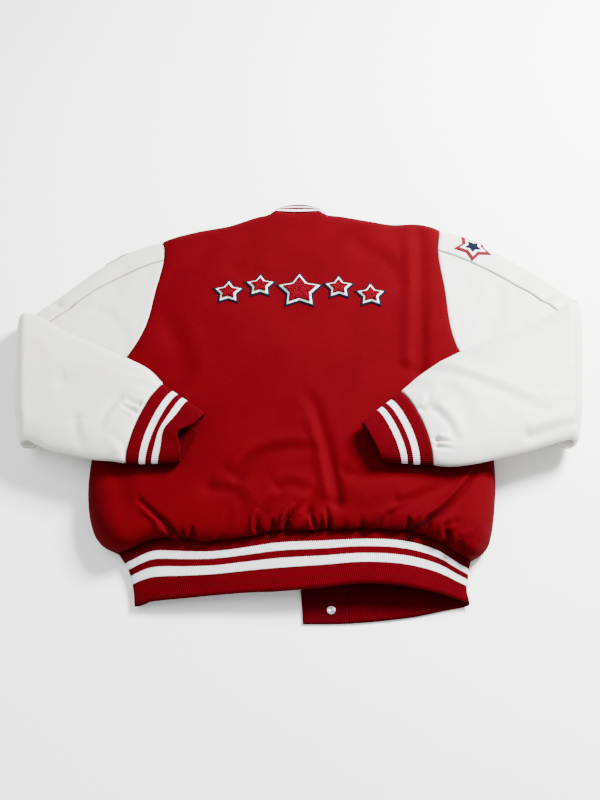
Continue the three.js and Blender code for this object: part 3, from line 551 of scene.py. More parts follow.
def collarPoints():
    paths = [collarPath(share) for share in np.linspace(0, 1, collar["rows"])]
    points, ridge = ribbed(paths, collar, lengthOf(paths[0]))
    normals = normalsOf(points)
    middle = points.shape[1] // 2
    normals *= np.sign(normals[:, middle, 2].sum())
    return points + normals * (ridge - collar["ridge"])


# A sleeve: stations from the armhole to the end of the cuff, turned over at the elbow
stations = table(
    "s turn mid half bow bulge seam",
    (0, 0, 17, 18, 1, 0, 1), (1, 0, 17.5, 18.5, 0.75, 0, 0.3), (2, 0, 17, 17.5, 0.45, 0, 0),
    (3, 0, 16.6, 17, 0.2, 0, 0), (4, 0, 16.3, 16.4, 0.05, 0, 0), (5, 0, 16, 16, 0, 0, 0),
    (6, 32, 16, 16, 0, 0, 0), (7, 62, 16, 16, 0, 0, 0), (8, 90, 16, 16, 0, 0, 0), (9, 118, 16, 16, 0, 0, 0),
    (10, 148, 16, 16, 0, 0, 0), (11, 180, 15.6, 15.8, 0, 0, 0), (12, 180, 15, 16, 0, 0, 0),
    (13, 180, 13.5, 16, 0, 0, 0), (14, 180, 10.5, 15.5, 0, 2, 0), (15, 180, 7.6, 14.6, 0, 5, 0),
    (16, 180, 7.6, 14.6, 0, 8, 0), (17, 180, 8.8, 13.4, 0, 9, 0), (18, 180, 9.6, 12.6, 0, 8, 0),
    (19, 180, 9.8, 12.4, 0, 4, 0), (20, 180, 9.8, 12.4, 0, 1, 0))
cuffStation = 17
cuff = {"pitch": 2.8, "perRib": 5, "ridge": 0.45, "inset": 0.9, "clear": 0.03, "rows": 24, "round": 181}
backSeamAt = math.acos(1 - 2 * 0.19)
edgeRows = {
    "left": (
        (-240, 313, -303, 22), (-262, 305, -316, 4), (-300, 284, -340, -22), (-346, 248, -364, -48),
        (-392, 200, -384, -74), (-434, 159, -399, -94), (-439, 153, -403, -97), (-441, 148, -404, -99),
        (-441, 143, -404, -100), (-440, 138, -403, -101), (-438, 134, -401, -102), (-434, 130, -397, -104),
        (-410, 120, -370, -118), (-368, 92, -335, -128), (-320, 66, -300, -137), (-263, 36, -272, -141),
        (-230, 16, -260, -143), (-206, -9, -250, -144), (-190, -22, -231, -145), (-166, -40, -203, -144),
        (-141, -59, -174, -142)),
    "right": (
        (246, 341, 289, 15), (272, 331, 303, -1), (312, 308, 326, -26), (356, 275, 352, -52),
        (404, 236, 376, -78), (448, 193, 394, -94), (452, 186, 398, -97), (451, 177, 399, -98),
        (446, 168, 399, -99), (440, 161, 399, -100), (435, 155, 398, -100), (430, 149, 396, -101),
        (393, 122, 375, -107), (345, 97, 338, -120), (290, 72, 296, -133), (245, 48, 250, -146),
        (196, 17, 216, -150), (151, -23, 191, -147), (135, -37, 172, -146), (112, -57, 144, -143),
        (91, -76, 117, -140)),
}
sleeveEdges = {name: table("s ax ay bx by", *[(k, *row) for k, row in enumerate(rows)])
               for name, rows in edgeRows.items()}
patches = {
    "left": {"x": -300, "y": 267, "room": 5.4, "low": 0, "high": 20, "from": -1.75, "to": 0.95},
    "right": {"x": 297, "y": 290, "room": 0, "low": 18, "high": 60, "from": -0.9, "to": 0.92},
}
patch = {
    "radius": 34, "blend": 26, "tilt": 262, "step": 10, "gap": 0.3, "felt": 1.2,
    "end": 3, "rows": 96, "columns": 90,
}

# Soft creases of the leather, seen from above: on the upper arms and on the folded forearms
armCreases = {
    "left": table(
        creaseRow,
        (-330, 150, -300, 130, -270, 60, 2.4, 12, 0.3, 0.3),
        (-300, 240, -310, 190, -318, 130, 1.6, 18, 0.2, 0.4),
        (-402, 168, -380, 160, -352, 170, 3.2, 8, 0.4, 0.3),
        (-260, 220, -280, 170, -290, 120, 1.2, 14, 0.2, 0.5)),
    "right": table(
        creaseRow,
        (330, 190, 320, 140, 300, 90, 1.8, 16, 0.3, 0.3),
        (416, 190, 395, 176, 360, 182, 3.2, 8, 0.4, 0.3),
        (265, 240, 285, 190, 300, 130, 1.4, 16, 0.2, 0.5),
        (380, 232, 360, 205, 350, 170, 1.6, 12, 0.3, 0.4)),
}
foreCreases = {
    "left": table(
        creaseRow,
        (-238, -52, -250, -49, -266, -38, 6, 4.4, 0.7, 0.2),
        (-242, -65, -250, -62, -262, -54, 5, 4, 0.6, 0.1),
        (-266, -44, -284, -64, -289, -94, 4, 7, 0.6, 0.2),
        (-222, -20, -240, -16, -262, -2, 2, 8, 0.3, 0.1),
        (-356, -12, -318, 6, -282, 30, 3.4, 12, 0.5, 0.3),
        (-329, -78, -326, -96, -314, -120, 3, 9, 0.5, 0.3),
        (-216, 4, -250, 6, -300, 20, 3, 9, 0.4, 0.25),
        (-414, 108, -408, 30, -398, -60, 0.9, 20, 0.3, 0.6),
        (-400, 90, -340, 50, -280, 20, 1.8, 22, 0.2, 0.5),
        (-420, -66, -408, -82, -392, -90, 1.4, 9, 0.4, 0.3),
        (-250, -130, -262, -112, -282, -100, 2.4, 7, 0.5, 0.2)),
    "right": table(
        creaseRow,
        (182, -62, 189, -50, 191, -34, 6, 4.2, 0.7, 0.2),
        (197, -112, 208, -115, 222, -117, 5.5, 3.8, 0.6, 0.1),
        (198, -123, 209, -125, 222, -129, 4.5, 3.4, 0.5, 0.1),
        (194, -58, 214, -82, 224, -112, 4, 7, 0.7, 0.3),
        (220, -24, 240, -50, 246, -100, 2, 14, 0.4, 0.3),
        (196, 16, 262, -10, 358, -58, 4, 11, 0.6, 0.4),
        (334, -104, 372, -90, 414, -76, 3.4, 9, 0.6, 0.5),
        (262, 30, 300, 22, 352, 34, 2, 16, 0.3, 0.4),
        (414, 120, 412, 40, 398, -60, 0.9, 20, 0.3, 0.6),
        (414, -66, 404, -80, 388, -90, 1.4, 9, 0.4, 0.3),
        (162, -12, 180, -20, 206, -24, 2, 8, 0.4, 0.2)),
}


def restHeight(name, x, y):
    away = np.hypot(x - patches[name]["x"], y - patches[name]["y"]) - patch["radius"]
    return patches[name]["room"] * (1 - smooth(away / patch["blend"]))


# Points of a sleeve at stations s and angles round it: 0 to pi is the face seen on the upper arm
def sleeveSurface(name, s, angle):
    side, edges = sides[name], sleeveEdges[name]
    s, angle = s[:, None], angle[None, :]
    row = {key: read(stations, "s", key, s) for key in ("turn", "mid", "half", "bow", "bulge", "seam")}
    row.update({key: read(edges, "s", key, s) for key in ("ax", "ay", "bx", "by")})
    w = (1 - np.cos(angle)) / 2
    start = edges[0]
    tipY = side["outline"][-1]["y"]
    bend = outlineX(name, mix(tipY, side["underarm"], w)) - mix(start["ax"], start["bx"], w)
    chordX, chordY = row["ax"] - row["bx"], row["ay"] - row["by"]
    size = np.hypot(chordX, chordY)
    outX, outY = -side["inward"] * chordY / size, side["inward"] * chordX / size
    full = row["mid"] + row["half"] * np.sin(angle) * np.sqrt(1 + np.cos(angle) ** 2)
    armZ = np.where(np.sin(angle) > 0, read(armhole, "w", "back", w), read(armhole, "w", "front", w))
    height = mix(full, np.maximum(0, armZ), clamp(row["seam"]))
    reach = lie["foldZ"] - height
    turn = np.radians(row["turn"])
    out = row["bulge"] * 4 * w * (1 - w) + reach * np.sin(turn) * lie["foldReach"]
    x = mix(row["ax"], row["bx"], w) + bend * row["bow"] + out * outX
    y = mix(row["ay"], row["by"], w) + out * outY
    z = np.maximum((1 - clamp(row["seam"])) * restHeight(name, x, y), lie["foldZ"] - reach * np.cos(turn))
    return np.stack([x, y, z], axis=2)


# Whether the normals of a sheet that follows a sleeve point out of it: 1, or -1 where they point in
def sleeveFacing(name, s, points):
    centre = sleeveSurface(name, s, np.linspace(0, math.tau, 25)[:-1]).mean(axis=1, keepdims=True)
    return np.sign((normalsOf(points) * (points - centre)).sum())


def creaseSleeve(name, points, s, angle, normals):
    x, y = points[:, :, 0], points[:, :, 1]
    turned = smooth((s[:, None] - 7.5) / 2)
    lit = np.sin(angle)[None, :]
    fore = creaseDepth(foreCreases[name], x, y) * turned * smooth(-lit * 2.5)
    upper = creaseDepth(armCreases[name], x, y) * (1 - turned) * smooth(lit * 2.5)
    fade = smooth(s[:, None] / 0.6)
    return points - normals * ((fore + upper) * fade)[:, :, None]


# Shader sums read as plain expressions: a wire is the output of a node, and each sign makes a math node
class Wire:
    def __init__(self, paint, socket):
        self.paint, self.socket = paint, socket

    def join(self, operation, first, second):
        return self.paint.node("ShaderNodeMath", {"operation": operation}, {0: first, 1: second})

    def one(self, operation):
        return self.join(operation, self, 0.0)

    __add__ = lambda self, other: self.join("ADD", self, other)
    __radd__ = lambda self, other: self.join("ADD", other, self)
    __sub__ = lambda self, other: self.join("SUBTRACT", self, other)
    __rsub__ = lambda self, other: self.join("SUBTRACT", other, self)
    __mul__ = lambda self, other: self.join("MULTIPLY", self, other)
    __rmul__ = lambda self, other: self.join("MULTIPLY", other, self)
    __truediv__ = lambda self, other: self.join("DIVIDE", self, other)


class Paint:
    def __init__(self, name):
        self.material = bpy.data.materials.new(name)
        self.material.use_nodes = True
        self.tree = self.material.node_tree
        self.tree.nodes.clear()

    def node(self, kind, settings=None, sockets=None, out=0):
        made = self.tree.nodes.new(kind)
        for key, value in (settings or {}).items():
            setattr(made, key, value)
        for key, value in (sockets or {}).items():
            if isinstance(value, Wire):
                self.tree.links.new(value.socket, made.inputs[key])
            else:
                made.inputs[key].default_value = value
        return Wire(self, made.outputs[out])

    def place(self):
        return self.node("ShaderNodeTexCoord", out="Object")

    def split(self, vector):
        made = self.tree.nodes.new("ShaderNodeSeparateXYZ")
        self.tree.links.new(vector.socket, made.inputs[0])
        return [Wire(self, socket) for socket in made.outputs]

    def uv(self):
        return self.split(self.node("ShaderNodeUVMap", {"uv_map": "cloth"}))[:2]

    def shade(self):
        return self.node("ShaderNodeAttribute", {"attribute_name": "shade"}, out="Fac")

    def axes(self):
        return self.split(self.place())

    def noise(self, scale, detail=3, rough=0.55, where=None):
        sockets = {"Vector": where or self.place(), "Scale": scale, "Detail": detail, "Roughness": rough}
        return self.node("ShaderNodeTexNoise", {}, sockets, "Fac")

    def cells(self, scale, feature="F1", where=None):
        sockets = {"Vector": where or self.place(), "Scale": scale}
        return self.node("ShaderNodeTexVoronoi", {"feature": feature}, sockets, "Distance")

    def step(self, value, low, high, fromTo=(0, 1)):
        sockets = {"Value": value, 1: low, 2: high, 3: fromTo[0], 4: fromTo[1]}
        return self.node("ShaderNodeMapRange", {"interpolation_type": "SMOOTHSTEP"}, sockets)

    def blend(self, share, first, second, kind="MIX"):
        tint = lambda colour: colour if isinstance(colour, Wire) else (*colour, 1)
        sockets = {0: share, 6: tint(first), 7: tint(second)}
        return self.node("ShaderNodeMix", {"data_type": "RGBA", "blend_type": kind}, sockets, 2)

    def bump(self, height, distance, strength=1.0):
        return self.node("ShaderNodeBump", {}, {"Height": height, "Distance": distance, "Strength": strength})

    def finish(self, colour, roughness, bump=None, **even):
        main = colour if isinstance(colour, Wire) else (*colour, 1)
        sockets = {"Base Color": main, "Roughness": roughness}
        if bump:
            sockets["Normal"] = bump
        sockets.update({key.replace("_", " "): value for key, value in even.items()})
        surface = self.node("ShaderNodeBsdfPrincipled", {}, sockets)
        output = self.tree.nodes.new("ShaderNodeOutputMaterial")
        self.tree.links.new(surface.socket, output.inputs["Surface"])
        return self.material


def linear(red, green, blue):
    turn = lambda v: v / 12.92 if v <= 0.04045 else ((v + 0.055) / 1.055) ** 2.4
    return tuple(turn(v / 255) for v in (red, green, blue))


tints = {
    "wool": (70, 0, 6), "woolDeep": (60, 0, 5), "woolPale": (80, 1, 9), "woolPaintedShade": (50, 0, 5),
    "woolCreaseShade": (34, 0, 2), "rib": (72, 0, 7), "ribDeep": (52, 0, 4), "stripe": (214, 215, 219),
    "stripeDeep": (156, 160, 168), "leather": (198, 198, 192), "leatherWarm": (194, 190, 172),
    "leatherDeep": (166, 166, 160), "leatherSeamAndCreaseShade": (84, 82, 76), "navy": (14, 17, 34),
    "navyDeep": (10, 13, 28), "white": (216, 216, 216), "whiteDeep": (196, 197, 202),
    "redPile": (112, 0, 16), "redPileDeep": (66, 0, 9), "redFelt": (86, 4, 22), "redFeltDeep": (104, 14, 30),
    "steel": (196, 198, 202), "floor": (250, 250, 250),
}
colours = {name: linear(*tint) for name, tint in tints.items()}


def woolPaint(name, main):
    paint = Paint(name)
    fibre = paint.noise(1500, 5, 0.7)
    nap = paint.noise(420, 4, 0.6)
    cloud = paint.noise(16, 3, 0.5)
    base = paint.blend(paint.step(cloud, 0.3, 0.7, (0.5, 0)), colours[main], colours["woolDeep"])
    base = paint.blend(paint.step(nap * 0.5 + fibre * 0.5, 0.42, 0.66, (0, 0.3)), base, colours["woolPale"])
    base = paint.blend(paint.step(fibre, 0.38, 0.52, (0.35, 0)), base, colours["woolDeep"])
    # Painted shade: the wool is darkened in its creases by the shade attribute
    base = paint.blend(paint.shade() * 0.8, base, colours["woolCreaseShade"])
    height = fibre * 0.5 + nap * 0.7
    return paint.finish(base, 0.95, paint.bump(height, 0.0009, 0.55), Specular_IOR_Level=0.03)


def leatherPaint():
    paint = Paint("whiteLeather")
    x, y, z = paint.axes()
    grain = paint.cells(620)
    pores = paint.noise(1300, 4, 0.6)
    soft = paint.noise(9, 4, 0.55)
    wrinkle = paint.noise(55, 5, 0.62)
    outer = paint.step(x.one("ABSOLUTE"), 0.34, 0.44)
    worn = outer * paint.step(y, -0.02, 0.15) * paint.step(soft, 0.35, 0.62)
    base = paint.blend(paint.step(soft, 0.3, 0.72), colours["leather"], colours["leatherWarm"])
    base = paint.blend(0.72, base, colours["leather"])
    base = paint.blend(worn * 0.6, base, colours["leatherWarm"])
    base = paint.blend(paint.step(grain, 0.5, 0.85, (0, 0.16)), base, colours["leatherDeep"])
    # Painted shade: the shade attribute darkens the leather along its seams, partly the dark stitching and
    # partly painted shade, and in the forearm creases
    base = paint.blend(paint.shade(), base, colours["leatherSeamAndCreaseShade"])
    height = 1 - grain * 0.55 + pores * 0.25 + wrinkle * 2.2
    rough = paint.step(wrinkle + pores * 0.3, 0.3, 0.9, (0.4, 0.56))
    return paint.finish(base, rough, paint.bump(height, 0.0007, 0.42), Specular_IOR_Level=0.38,
                        Coat_Weight=0.06, Coat_Roughness=0.45)


# Rib knit: columns of stitches along the ribs, with knitted stripes between the heights given
knitting = {"course": 1.45, "slant": 1.1, "wave": 0.4, "rough": 0.9, "edge": 0.5}


def ribPaint(name, stripes, pitch):
    paint = Paint(name)
    u, v = paint.uv()
    phase = (u / (pitch * mm)).one("FRACT")
    aside = (phase - 0.5).one("ABSOLUTE")
    ridge = 1 - aside * 2
    course = v / (knitting["course"] * mm) + aside * knitting["slant"]
    stitch = (course * math.tau).one("SINE") * 0.5 + 0.5
    wave = (phase * math.tau).one("SINE") * (knitting["wave"] * mm)
    edge = v + wave + paint.noise(260, 2) * (knitting["rough"] * mm)
    fuzz = paint.noise(1700, 4, 0.7)
    soft = paint.noise(22, 3)
    red = paint.blend(paint.step(soft, 0.35, 0.65), colours["ribDeep"], colours["rib"])
    red = paint.blend(0.7, red, colours["rib"])
    white = paint.blend(paint.step(soft, 0.4, 0.7, (0, 0.3)), colours["stripe"], colours["stripeDeep"])
    inside = 0.0
    for low, high in stripes:
        start = paint.step(edge, low * mm, (low + knitting["edge"]) * mm)
        inside = inside + start * paint.step(edge, high * mm, (high + knitting["edge"]) * mm, (1, 0))
    deep = paint.blend(inside, colours["ribDeep"], colours["stripeDeep"])
    base = paint.blend(inside, red, white)
    # Painted shade in the valleys between the ribs
    base = paint.blend(paint.step(ridge, 0.0, 0.5, (0.3, 0)), base, deep)
    base = paint.blend(paint.step(fuzz, 0.4, 0.6, (0.22, 0)), base, deep)
    height = ridge * 0.7 + stitch * 0.5 + fuzz * 0.35
    return paint.finish(base, 0.92, paint.bump(height, 0.0006, 0.5), Specular_IOR_Level=0.03)


def feltPaint(name, colour, deep):
    paint = Paint(name)
    fibre = paint.noise(1600, 5, 0.7)
    cloud = paint.noise(90, 3)
    base = paint.blend(paint.step(fibre, 0.35, 0.62), deep, colour)
    base = paint.blend(paint.step(cloud, 0.35, 0.7, (0, 0.3)), base, deep)
    return paint.finish(base, 0.95, paint.bump(fibre, 0.0006, 0.6), Specular_IOR_Level=0.05)


def pilePaint():
    paint = Paint("chenillePile")
    warp = paint.noise(300, 2)
    loops = paint.cells(360)
    fuzz = paint.noise(1800, 4, 0.7)
    base = paint.blend(paint.step(loops + warp * 0.15, 0.25, 0.72), colours["redPile"], colours["redPileDeep"])
    base = paint.blend(paint.step(fuzz, 0.4, 0.6, (0.3, 0)), base, colours["redPileDeep"])
    height = 1 - loops * 1.3 + fuzz * 0.3
    return paint.finish(base, 0.96, paint.bump(height, 0.0014, 0.9), Specular_IOR_Level=0.04)


def steelPaint():
    paint = Paint("snapMetal")
    smear = paint.noise(700, 3)
    base = paint.blend(paint.step(smear, 0.4, 0.7, (0, 0.3)), colours["steel"], colours["stripeDeep"])
    return paint.finish(base, paint.step(smear, 0.35, 0.7, (0.22, 0.38)), paint.bump(smear, 0.0001, 0.3),
                        Metallic=1.0)


def floorPaint():
    paint = Paint("paleFloor")
    return paint.finish(paint.blend(paint.step(paint.noise(3), 0.3, 0.7, (0, 0.02)), colours["floor"],
                                    colours["white"]), 0.9, Specular_IOR_Level=0.1)


paints = {
    "wool": woolPaint("meltonWool", "wool"),
    # A darker copy of the wool for the fronts and tabs: painted shade, as they lie in the jacket's shadow
    "woolPaintedShade": woolPaint("woolPaintedShade", "woolPaintedShade"),
    "leather": leatherPaint(),
    "rib": ribPaint("ribKnit", [(17, 27), (37, 48.5)], band["pitch"]),
    "plainRib": ribPaint("plainKnit", [], band["pitch"]),
    "cuffRib": ribPaint("cuffKnit", [(19, 28.5), (38, 47)], cuff["pitch"]),
    "collarRib": ribPaint("collarKnit", [(2, 8), (14, 20)], collar["pitch"]),
    "navy": feltPaint("navyFelt", colours["navy"], colours["navyDeep"]),
    "white": feltPaint("whiteFelt", colours["white"], colours["whiteDeep"]),
    "redFelt": feltPaint("redFelt", colours["redFelt"], colours["redFeltDeep"]),
    "pile": pilePaint(),
    "steel": steelPaint(),
    "floor": floorPaint(),
}
print("materials made")


# Hides the solid of the frame that a cloth piece stands for
def declare(node, cut=None):
    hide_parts(node)
    if cut:
        return


def bodyPieces():
    rows = bodyRows(52, 62, 32)
    points = bodySurface("back", rows, bodyColumns(14, np.linspace(0, 1, 290)), backHem, shoulderY)
    back = addBody("backPanel", points, 1, up, ("top", "left", "right"), paints["wool"], backCreases)
    declare("back")
    rows = bodyRows(46, 36, 12)
    for name, front in fronts.items():
        columns = bodyColumns(6, np.linspace(0, 1, 90), name == "left", name == "right")
        opening = {front["opening"]: lambda y: edgeX(name, y)}
        points = bodySurface("front", rows, columns, front["hem"], frontTop, lift=front["lift"], **opening)
        piece = addBody(name + "Front", points, -1, down, (name,), paints["woolPaintedShade"])
        declare("front_" + name)


def bandPieces():
    points = bandPoints()
    points, uv = faceUp(points, ribUv(points, band), 200)
    piece = addCloth("ribWaistband", points, walls["rib"], paints["rib"], uv=uv, lining=paints["plainRib"])
    declare("waistband")
    r, share = np.linspace(0, 1, 24)[:, None], np.linspace(0, 1, 24)[None, :]
    for name, front in fronts.items():
        edge = edgeX(name, hemY(front["hem"], front["tab"], r))
        x = mix(np.minimum(front["tab"], edge), np.maximum(front["tab"], edge), share)
        y = hemY(front["hem"], x, r)
        tab = np.stack([x, y, front["lift"](x, y)], axis=2)
        piece = addBody(name + "Tab", tab, -1, down, (), paints["woolPaintedShade"])
        declare("tab_" + name)


def collarPiece():
    points = collarPoints()
    points, uv = faceUp(points, ribUv(points, collar), 60)
    piece = addCloth("collarRib", points, walls["rib"], paints["collarRib"], uv=uv)
    declare("collar", cut=(0.38, 0.05))


# Seams of the leather dip into the cloth and get a darker line, partly dark stitching and partly painted
# shade; the forearm creases get painted shade too
seamLine = {"dipWidth": 2.6, "dip": 1.5, "width": 1.3, "dark": 0.75}
leatherCreaseShade = {"full": 5, "share": 0.3}


def sleevePieces(name):
    s = np.concatenate([np.linspace(0, 5, 72), np.linspace(5, 11, 40)[1:], np.linspace(11, 17, 80)[1:]])
    spans = {
        "under": np.linspace(backSeamAt, math.pi, 88),
        "top": np.linspace(math.pi, math.tau + backSeamAt, 116),
    }
    for panel, angle in spans.items():
        points = sleeveSurface(name, s, angle)
        facing = sleeveFacing(name, s, points)
        points = creaseSleeve(name, points, s, angle, normalsOf(points) * facing)
        points = dipSeams(points, -facing, seamLine["dipWidth"], seamLine["dip"])
        seams = edgeNearness(points, seamLine["width"], ("left", "right", "bottom")) * seamLine["dark"]
        dark = creaseShade(foreCreases[name], points[:, :, 0], points[:, :, 1], leatherCreaseShade["full"])
        onFore = smooth((s[:, None] - 11) / 2) * (angle > math.pi)
        shade = np.maximum(seams, dark * leatherCreaseShade["share"] * onFore)
        if facing < 0:
            points, shade = points[:, ::-1], shade[:, ::-1]
        title = name + "Sleeve" + panel.capitalize()
        piece = addCloth(title, points, walls["leather"], paints["leather"], shade=shade)
        declare(f"sleeve_{panel}_{name}")


# The cuffs. The end of one is curled back, so that its opening shows
curls = {"left": {"from": 18.2, "at": 0.72, "width": 0.09, "back": 17, "up": 5}}


def cuffPiece(name):
    end = stations[-1]["s"]
    s = np.linspace(cuffStation + cuff["clear"], end, cuff["rows"])
    loops = list(sleeveSurface(name, s, np.linspace(0, math.tau, cuff["round"])))
    points, ridge = ribbed(loops, cuff, np.mean([lengthOf(loop) for loop in loops]))
    normals = normalsOf(points)
    facing = np.sign((normals * (points - points.mean(axis=1, keepdims=True))).sum())
    points = points + normals * facing * (ridge - cuff["inset"])
    if name in curls:
        curl = curls[name]
        towards = (points[0] - points[-1]).mean(axis=0)
        towards /= np.linalg.norm(towards)
        share = smooth((s - curl["from"]) / (end - curl["from"]))[:, None]
        around = bell((np.linspace(0, 1, points.shape[1]) - curl["at"]) / curl["width"])[None, :]
        pull = (share * around)[:, :, None]
        points = points + pull * (towards * curl["back"] + up * curl["up"])
    points[:, -1] = points[:, 0]
    uv = ribUv(points, cuff)
    if facing < 0:
        points, uv = points[:, ::-1], (uv[0][::-1], uv[1])
    piece = addCloth(name + "Cuff", points, walls["rib"], paints["cuffRib"], True, uv, paints["plainRib"])
    declare("cuff_" + name)


# Stars of felt and pile: a flat star is cut out, divided, and laid on the cloth
star = {
    "points": 5, "inner": 0.56, "border": 6, "felt": 1.2, "pile": 2.8, "gap": 0.3, "rim": 2.6,
    "tilt": 90, "edge": 0.4,
}
motifStars = table(
    "x drop radius", (-118, 5, 29), (-66, -9, 29), (-1, 2, 42), (64, -5, 29), (116, 11, 29))
motifY = 188


def starShell(radius, tilt, cuts):
    shell = bmesh.new()
    count = star["points"] * 2
    bmesh.ops.create_circle(shell, cap_ends=True, cap_tris=True, segments=count, radius=radius)
    for vert in shell.verts:
        reach = vert.co.length
        turn = math.degrees(math.atan2(vert.co.y, vert.co.x)) % 360
        if reach > radius / 2:
            step = round(turn / (360 / count) + 0.25) % count
            inner = star["inner"] if step % 2 else 1
            angle = math.radians(tilt + step * 360 / count)
            vert.co = Vector((math.cos(angle), math.sin(angle), 0)) * radius * inner
    if cuts:
        bmesh.ops.subdivide_edges(shell, edges=shell.edges, cuts=cuts, use_grid_fill=True)
    bmesh.ops.recalc_face_normals(shell, faces=shell.faces)
    return shell


# How far points are inside the outline of a star
def insetOf(u, v, radius, tilt):
    count = star["points"] * 2
    angles = np.radians(tilt + np.arange(count + 1) * 360 / count)
    reach = np.where(np.arange(count + 1) % 2, star["inner"], 1) * radius
    cu, cv = reach * np.cos(angles), reach * np.sin(angles)
    best = np.full(u.shape, 1e9)
    for k in range(count):
        du, dv = cu[k + 1] - cu[k], cv[k + 1] - cv[k]
        t = clamp(((u - cu[k]) * du + (v - cv[k]) * dv) / (du * du + dv * dv))
        best = np.minimum(best, np.hypot(u - cu[k] - t * du, v - cv[k] - t * dv))
    return best


def motifPiece(k, spot, layer):
    name = f"backStar{layer['layer']}{k + 1}"
    radius = spot["radius"] - layer["inset"] * star["border"]
    x, y = spot["x"], motifY - spot["drop"]
    mesh = makeMesh(name, starShell(radius, star["tilt"], layer["cuts"]))
    flat = pointsOf(mesh)
    u, v = flat[:, 0], flat[:, 1]
    rise = clamp(insetOf(u, v, radius, star["tilt"]) / layer["rim"])
    top = layer["low"] + layer["thick"] * mix(star["edge"], 1, np.sqrt(1 - (1 - rise) ** 2))
    z = backHeight(x + u, y + v) + top
    mesh.vertices.foreach_set("co", (np.stack([x + u, y + v, z], axis=1) * mm).ravel())
    piece = finishPiece(name, mesh, paints[layer["paint"]], layer["thick"] * star["edge"])
    if mesh.polygons[0].normal.z < 0:
        mesh.flip_normals()
    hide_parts(f"motif_{layer['node']}_{k + 1}")


def motifPieces():
    felt, gap = star["felt"], star["gap"]
    layers = table(
        "layer node slot paint inset low thick rim cuts",
        ("Base", "base", "navy_felt", "navy", 0, gap, felt, 0.8, 7),
        ("Edging", "edging", "white_felt", "white", 1, felt + 2 * gap, felt, 0.8, 7),
        ("Pile", "star", "red_pile", "pile", 2, 2 * felt + 3 * gap, star["pile"], star["rim"], 15))
    for k, spot in enumerate(motifStars):
        for layer in layers:
            motifPiece(k, spot, layer)


# A solid star that cuts a patch out of its sheet
def starCutter(radius, spot):
    cutter = starShell(radius, patch["tilt"], 0)
    made = bmesh.ops.extrude_face_region(cutter, geom=cutter.faces[:])
    lifted = [item for item in made["geom"] if isinstance(item, bmesh.types.BMVert)]
    bmesh.ops.translate(cutter, verts=lifted, vec=(0, 0, spot["high"] - spot["low"]))
    bmesh.ops.translate(cutter, verts=cutter.verts, vec=(spot["x"], spot["y"], spot["low"]))
    bmesh.ops.scale(cutter, verts=cutter.verts, vec=(mm, mm, mm))
    bmesh.ops.recalc_face_normals(cutter, faces=cutter.faces)
    tool = bpy.data.objects.new("starCutter", makeMesh("starCutter", cutter))
    bpy.context.scene.collection.objects.link(tool)
    return tool


# The sleeve patches are cut out of sheets that follow the leather
def patchPieces(name):
    spot = patches[name]
    s = np.linspace(0, patch["end"], patch["rows"])
    leather = sleeveSurface(name, s, np.linspace(spot["from"], spot["to"], patch["columns"]))
    facing = sleeveFacing(name, s, leather)
    normals = normalsOf(leather) * facing
    layers = table(
        "layer slot paint", ("border", "red_felt", "redFelt"), ("edging", "white_felt", "white"),
        ("star", "navy_felt", "navy"))
    for k, layer in enumerate(layers):
        high = patch["gap"] + patch["felt"] + k * (patch["felt"] + patch["gap"])
        sheet = leather + normals * high
        sheet = sheet[:, ::-1] if facing < 0 else sheet
        title = name + "Patch" + layer["layer"].capitalize()
        block = addCloth(title, sheet, patch["felt"], paints[layer["paint"]])
        tool = starCutter(patch["radius"] - k * patch["step"], spot)
        cut = block.modifiers.new("cut", "BOOLEAN")
        cut.operation, cut.object = "INTERSECT", tool
        bpy.context.view_layer.update()
        solved = bpy.data.meshes.new_from_object(block.evaluated_get(bpy.context.evaluated_depsgraph_get()))
        block.modifiers.clear()
        block.data = solved
        bpy.data.objects.remove(tool)
        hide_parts(f"patch_{layer['layer']}_{name}")


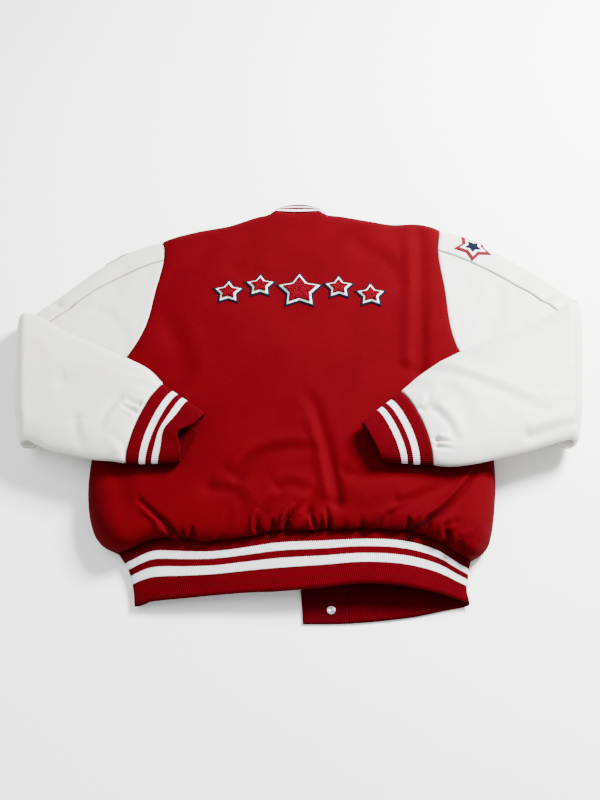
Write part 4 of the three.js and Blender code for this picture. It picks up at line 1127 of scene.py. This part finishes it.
# Snap backs: a small turned disc with a dished middle, resting on the wool
snap = {"radius": 6.1, "height": 1.3, "dish": 2.6, "count": 7, "steps": 40, "last": 268, "rest": 3.3}
snapRows = {"right": {"first": -342, "inset": 40}, "left": {"first": -272, "inset": -18}}


def snapShell(x, y, z):
    r, h, d = snap["radius"], snap["height"], snap["dish"]
    profile = ((0, 0), (r - 0.3, 0), (r, 0.3), (r, h * 0.45), (r - 0.35, h * 0.8), (r - 1.1, h),
               (d + 0.5, h * 0.92), (d, h * 0.75), (d - 0.4, h * 0.42), (0, h * 0.36))
    shell = bmesh.new()
    verts = [shell.verts.new((px, 0, pz)) for px, pz in profile]
    edges = [shell.edges.new(pair) for pair in zip(verts, verts[1:])]
    bmesh.ops.spin(shell, geom=verts + edges, cent=(0, 0, 0), axis=(0, 0, 1), angle=math.tau,
                   steps=snap["steps"], use_merge=True)
    bmesh.ops.remove_doubles(shell, verts=shell.verts, dist=1e-4)
    bmesh.ops.recalc_face_normals(shell, faces=shell.faces)
    bmesh.ops.translate(shell, verts=shell.verts, vec=(x, y, z))
    bmesh.ops.scale(shell, verts=shell.verts, vec=(mm, mm, mm))
    return shell


def snapPieces():
    for name, row in snapRows.items():
        for k in range(snap["count"]):
            y = mix(row["first"], snap["last"], k / (snap["count"] - 1))
            x = edgeX(name, y) + row["inset"]
            z = float(fronts[name]["lift"](np.array([x]), np.array([y]))[0]) + snap["rest"]
            title = f"{name}Snap{k + 1}"
            piece = finishPiece(title, makeMesh(title, snapShell(x, y, z)), paints["steel"])
            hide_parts(f"snap_{name}_{k + 1}")


bodyPieces()
print("body made")
bandPieces()
collarPiece()
print("band and collar made")
for name in sides:
    sleevePieces(name)
    cuffPiece(name)
print("sleeves made")
motifPieces()
for name in sides:
    patchPieces(name)
snapPieces()
print("stars and snaps made")

# Pale floor, a little under the jacket
def addFloor():
    shell = bmesh.new()
    bmesh.ops.create_grid(shell, x_segments=8, y_segments=8, size=4)
    bmesh.ops.translate(shell, verts=shell.verts, vec=(0, 0, -0.0004))
    mesh = makeMesh("floor", shell)
    floor = bpy.data.objects.new("floor", mesh)
    mesh.materials.append(paints["floor"])
    bpy.context.scene.collection.objects.link(floor)


addFloor()
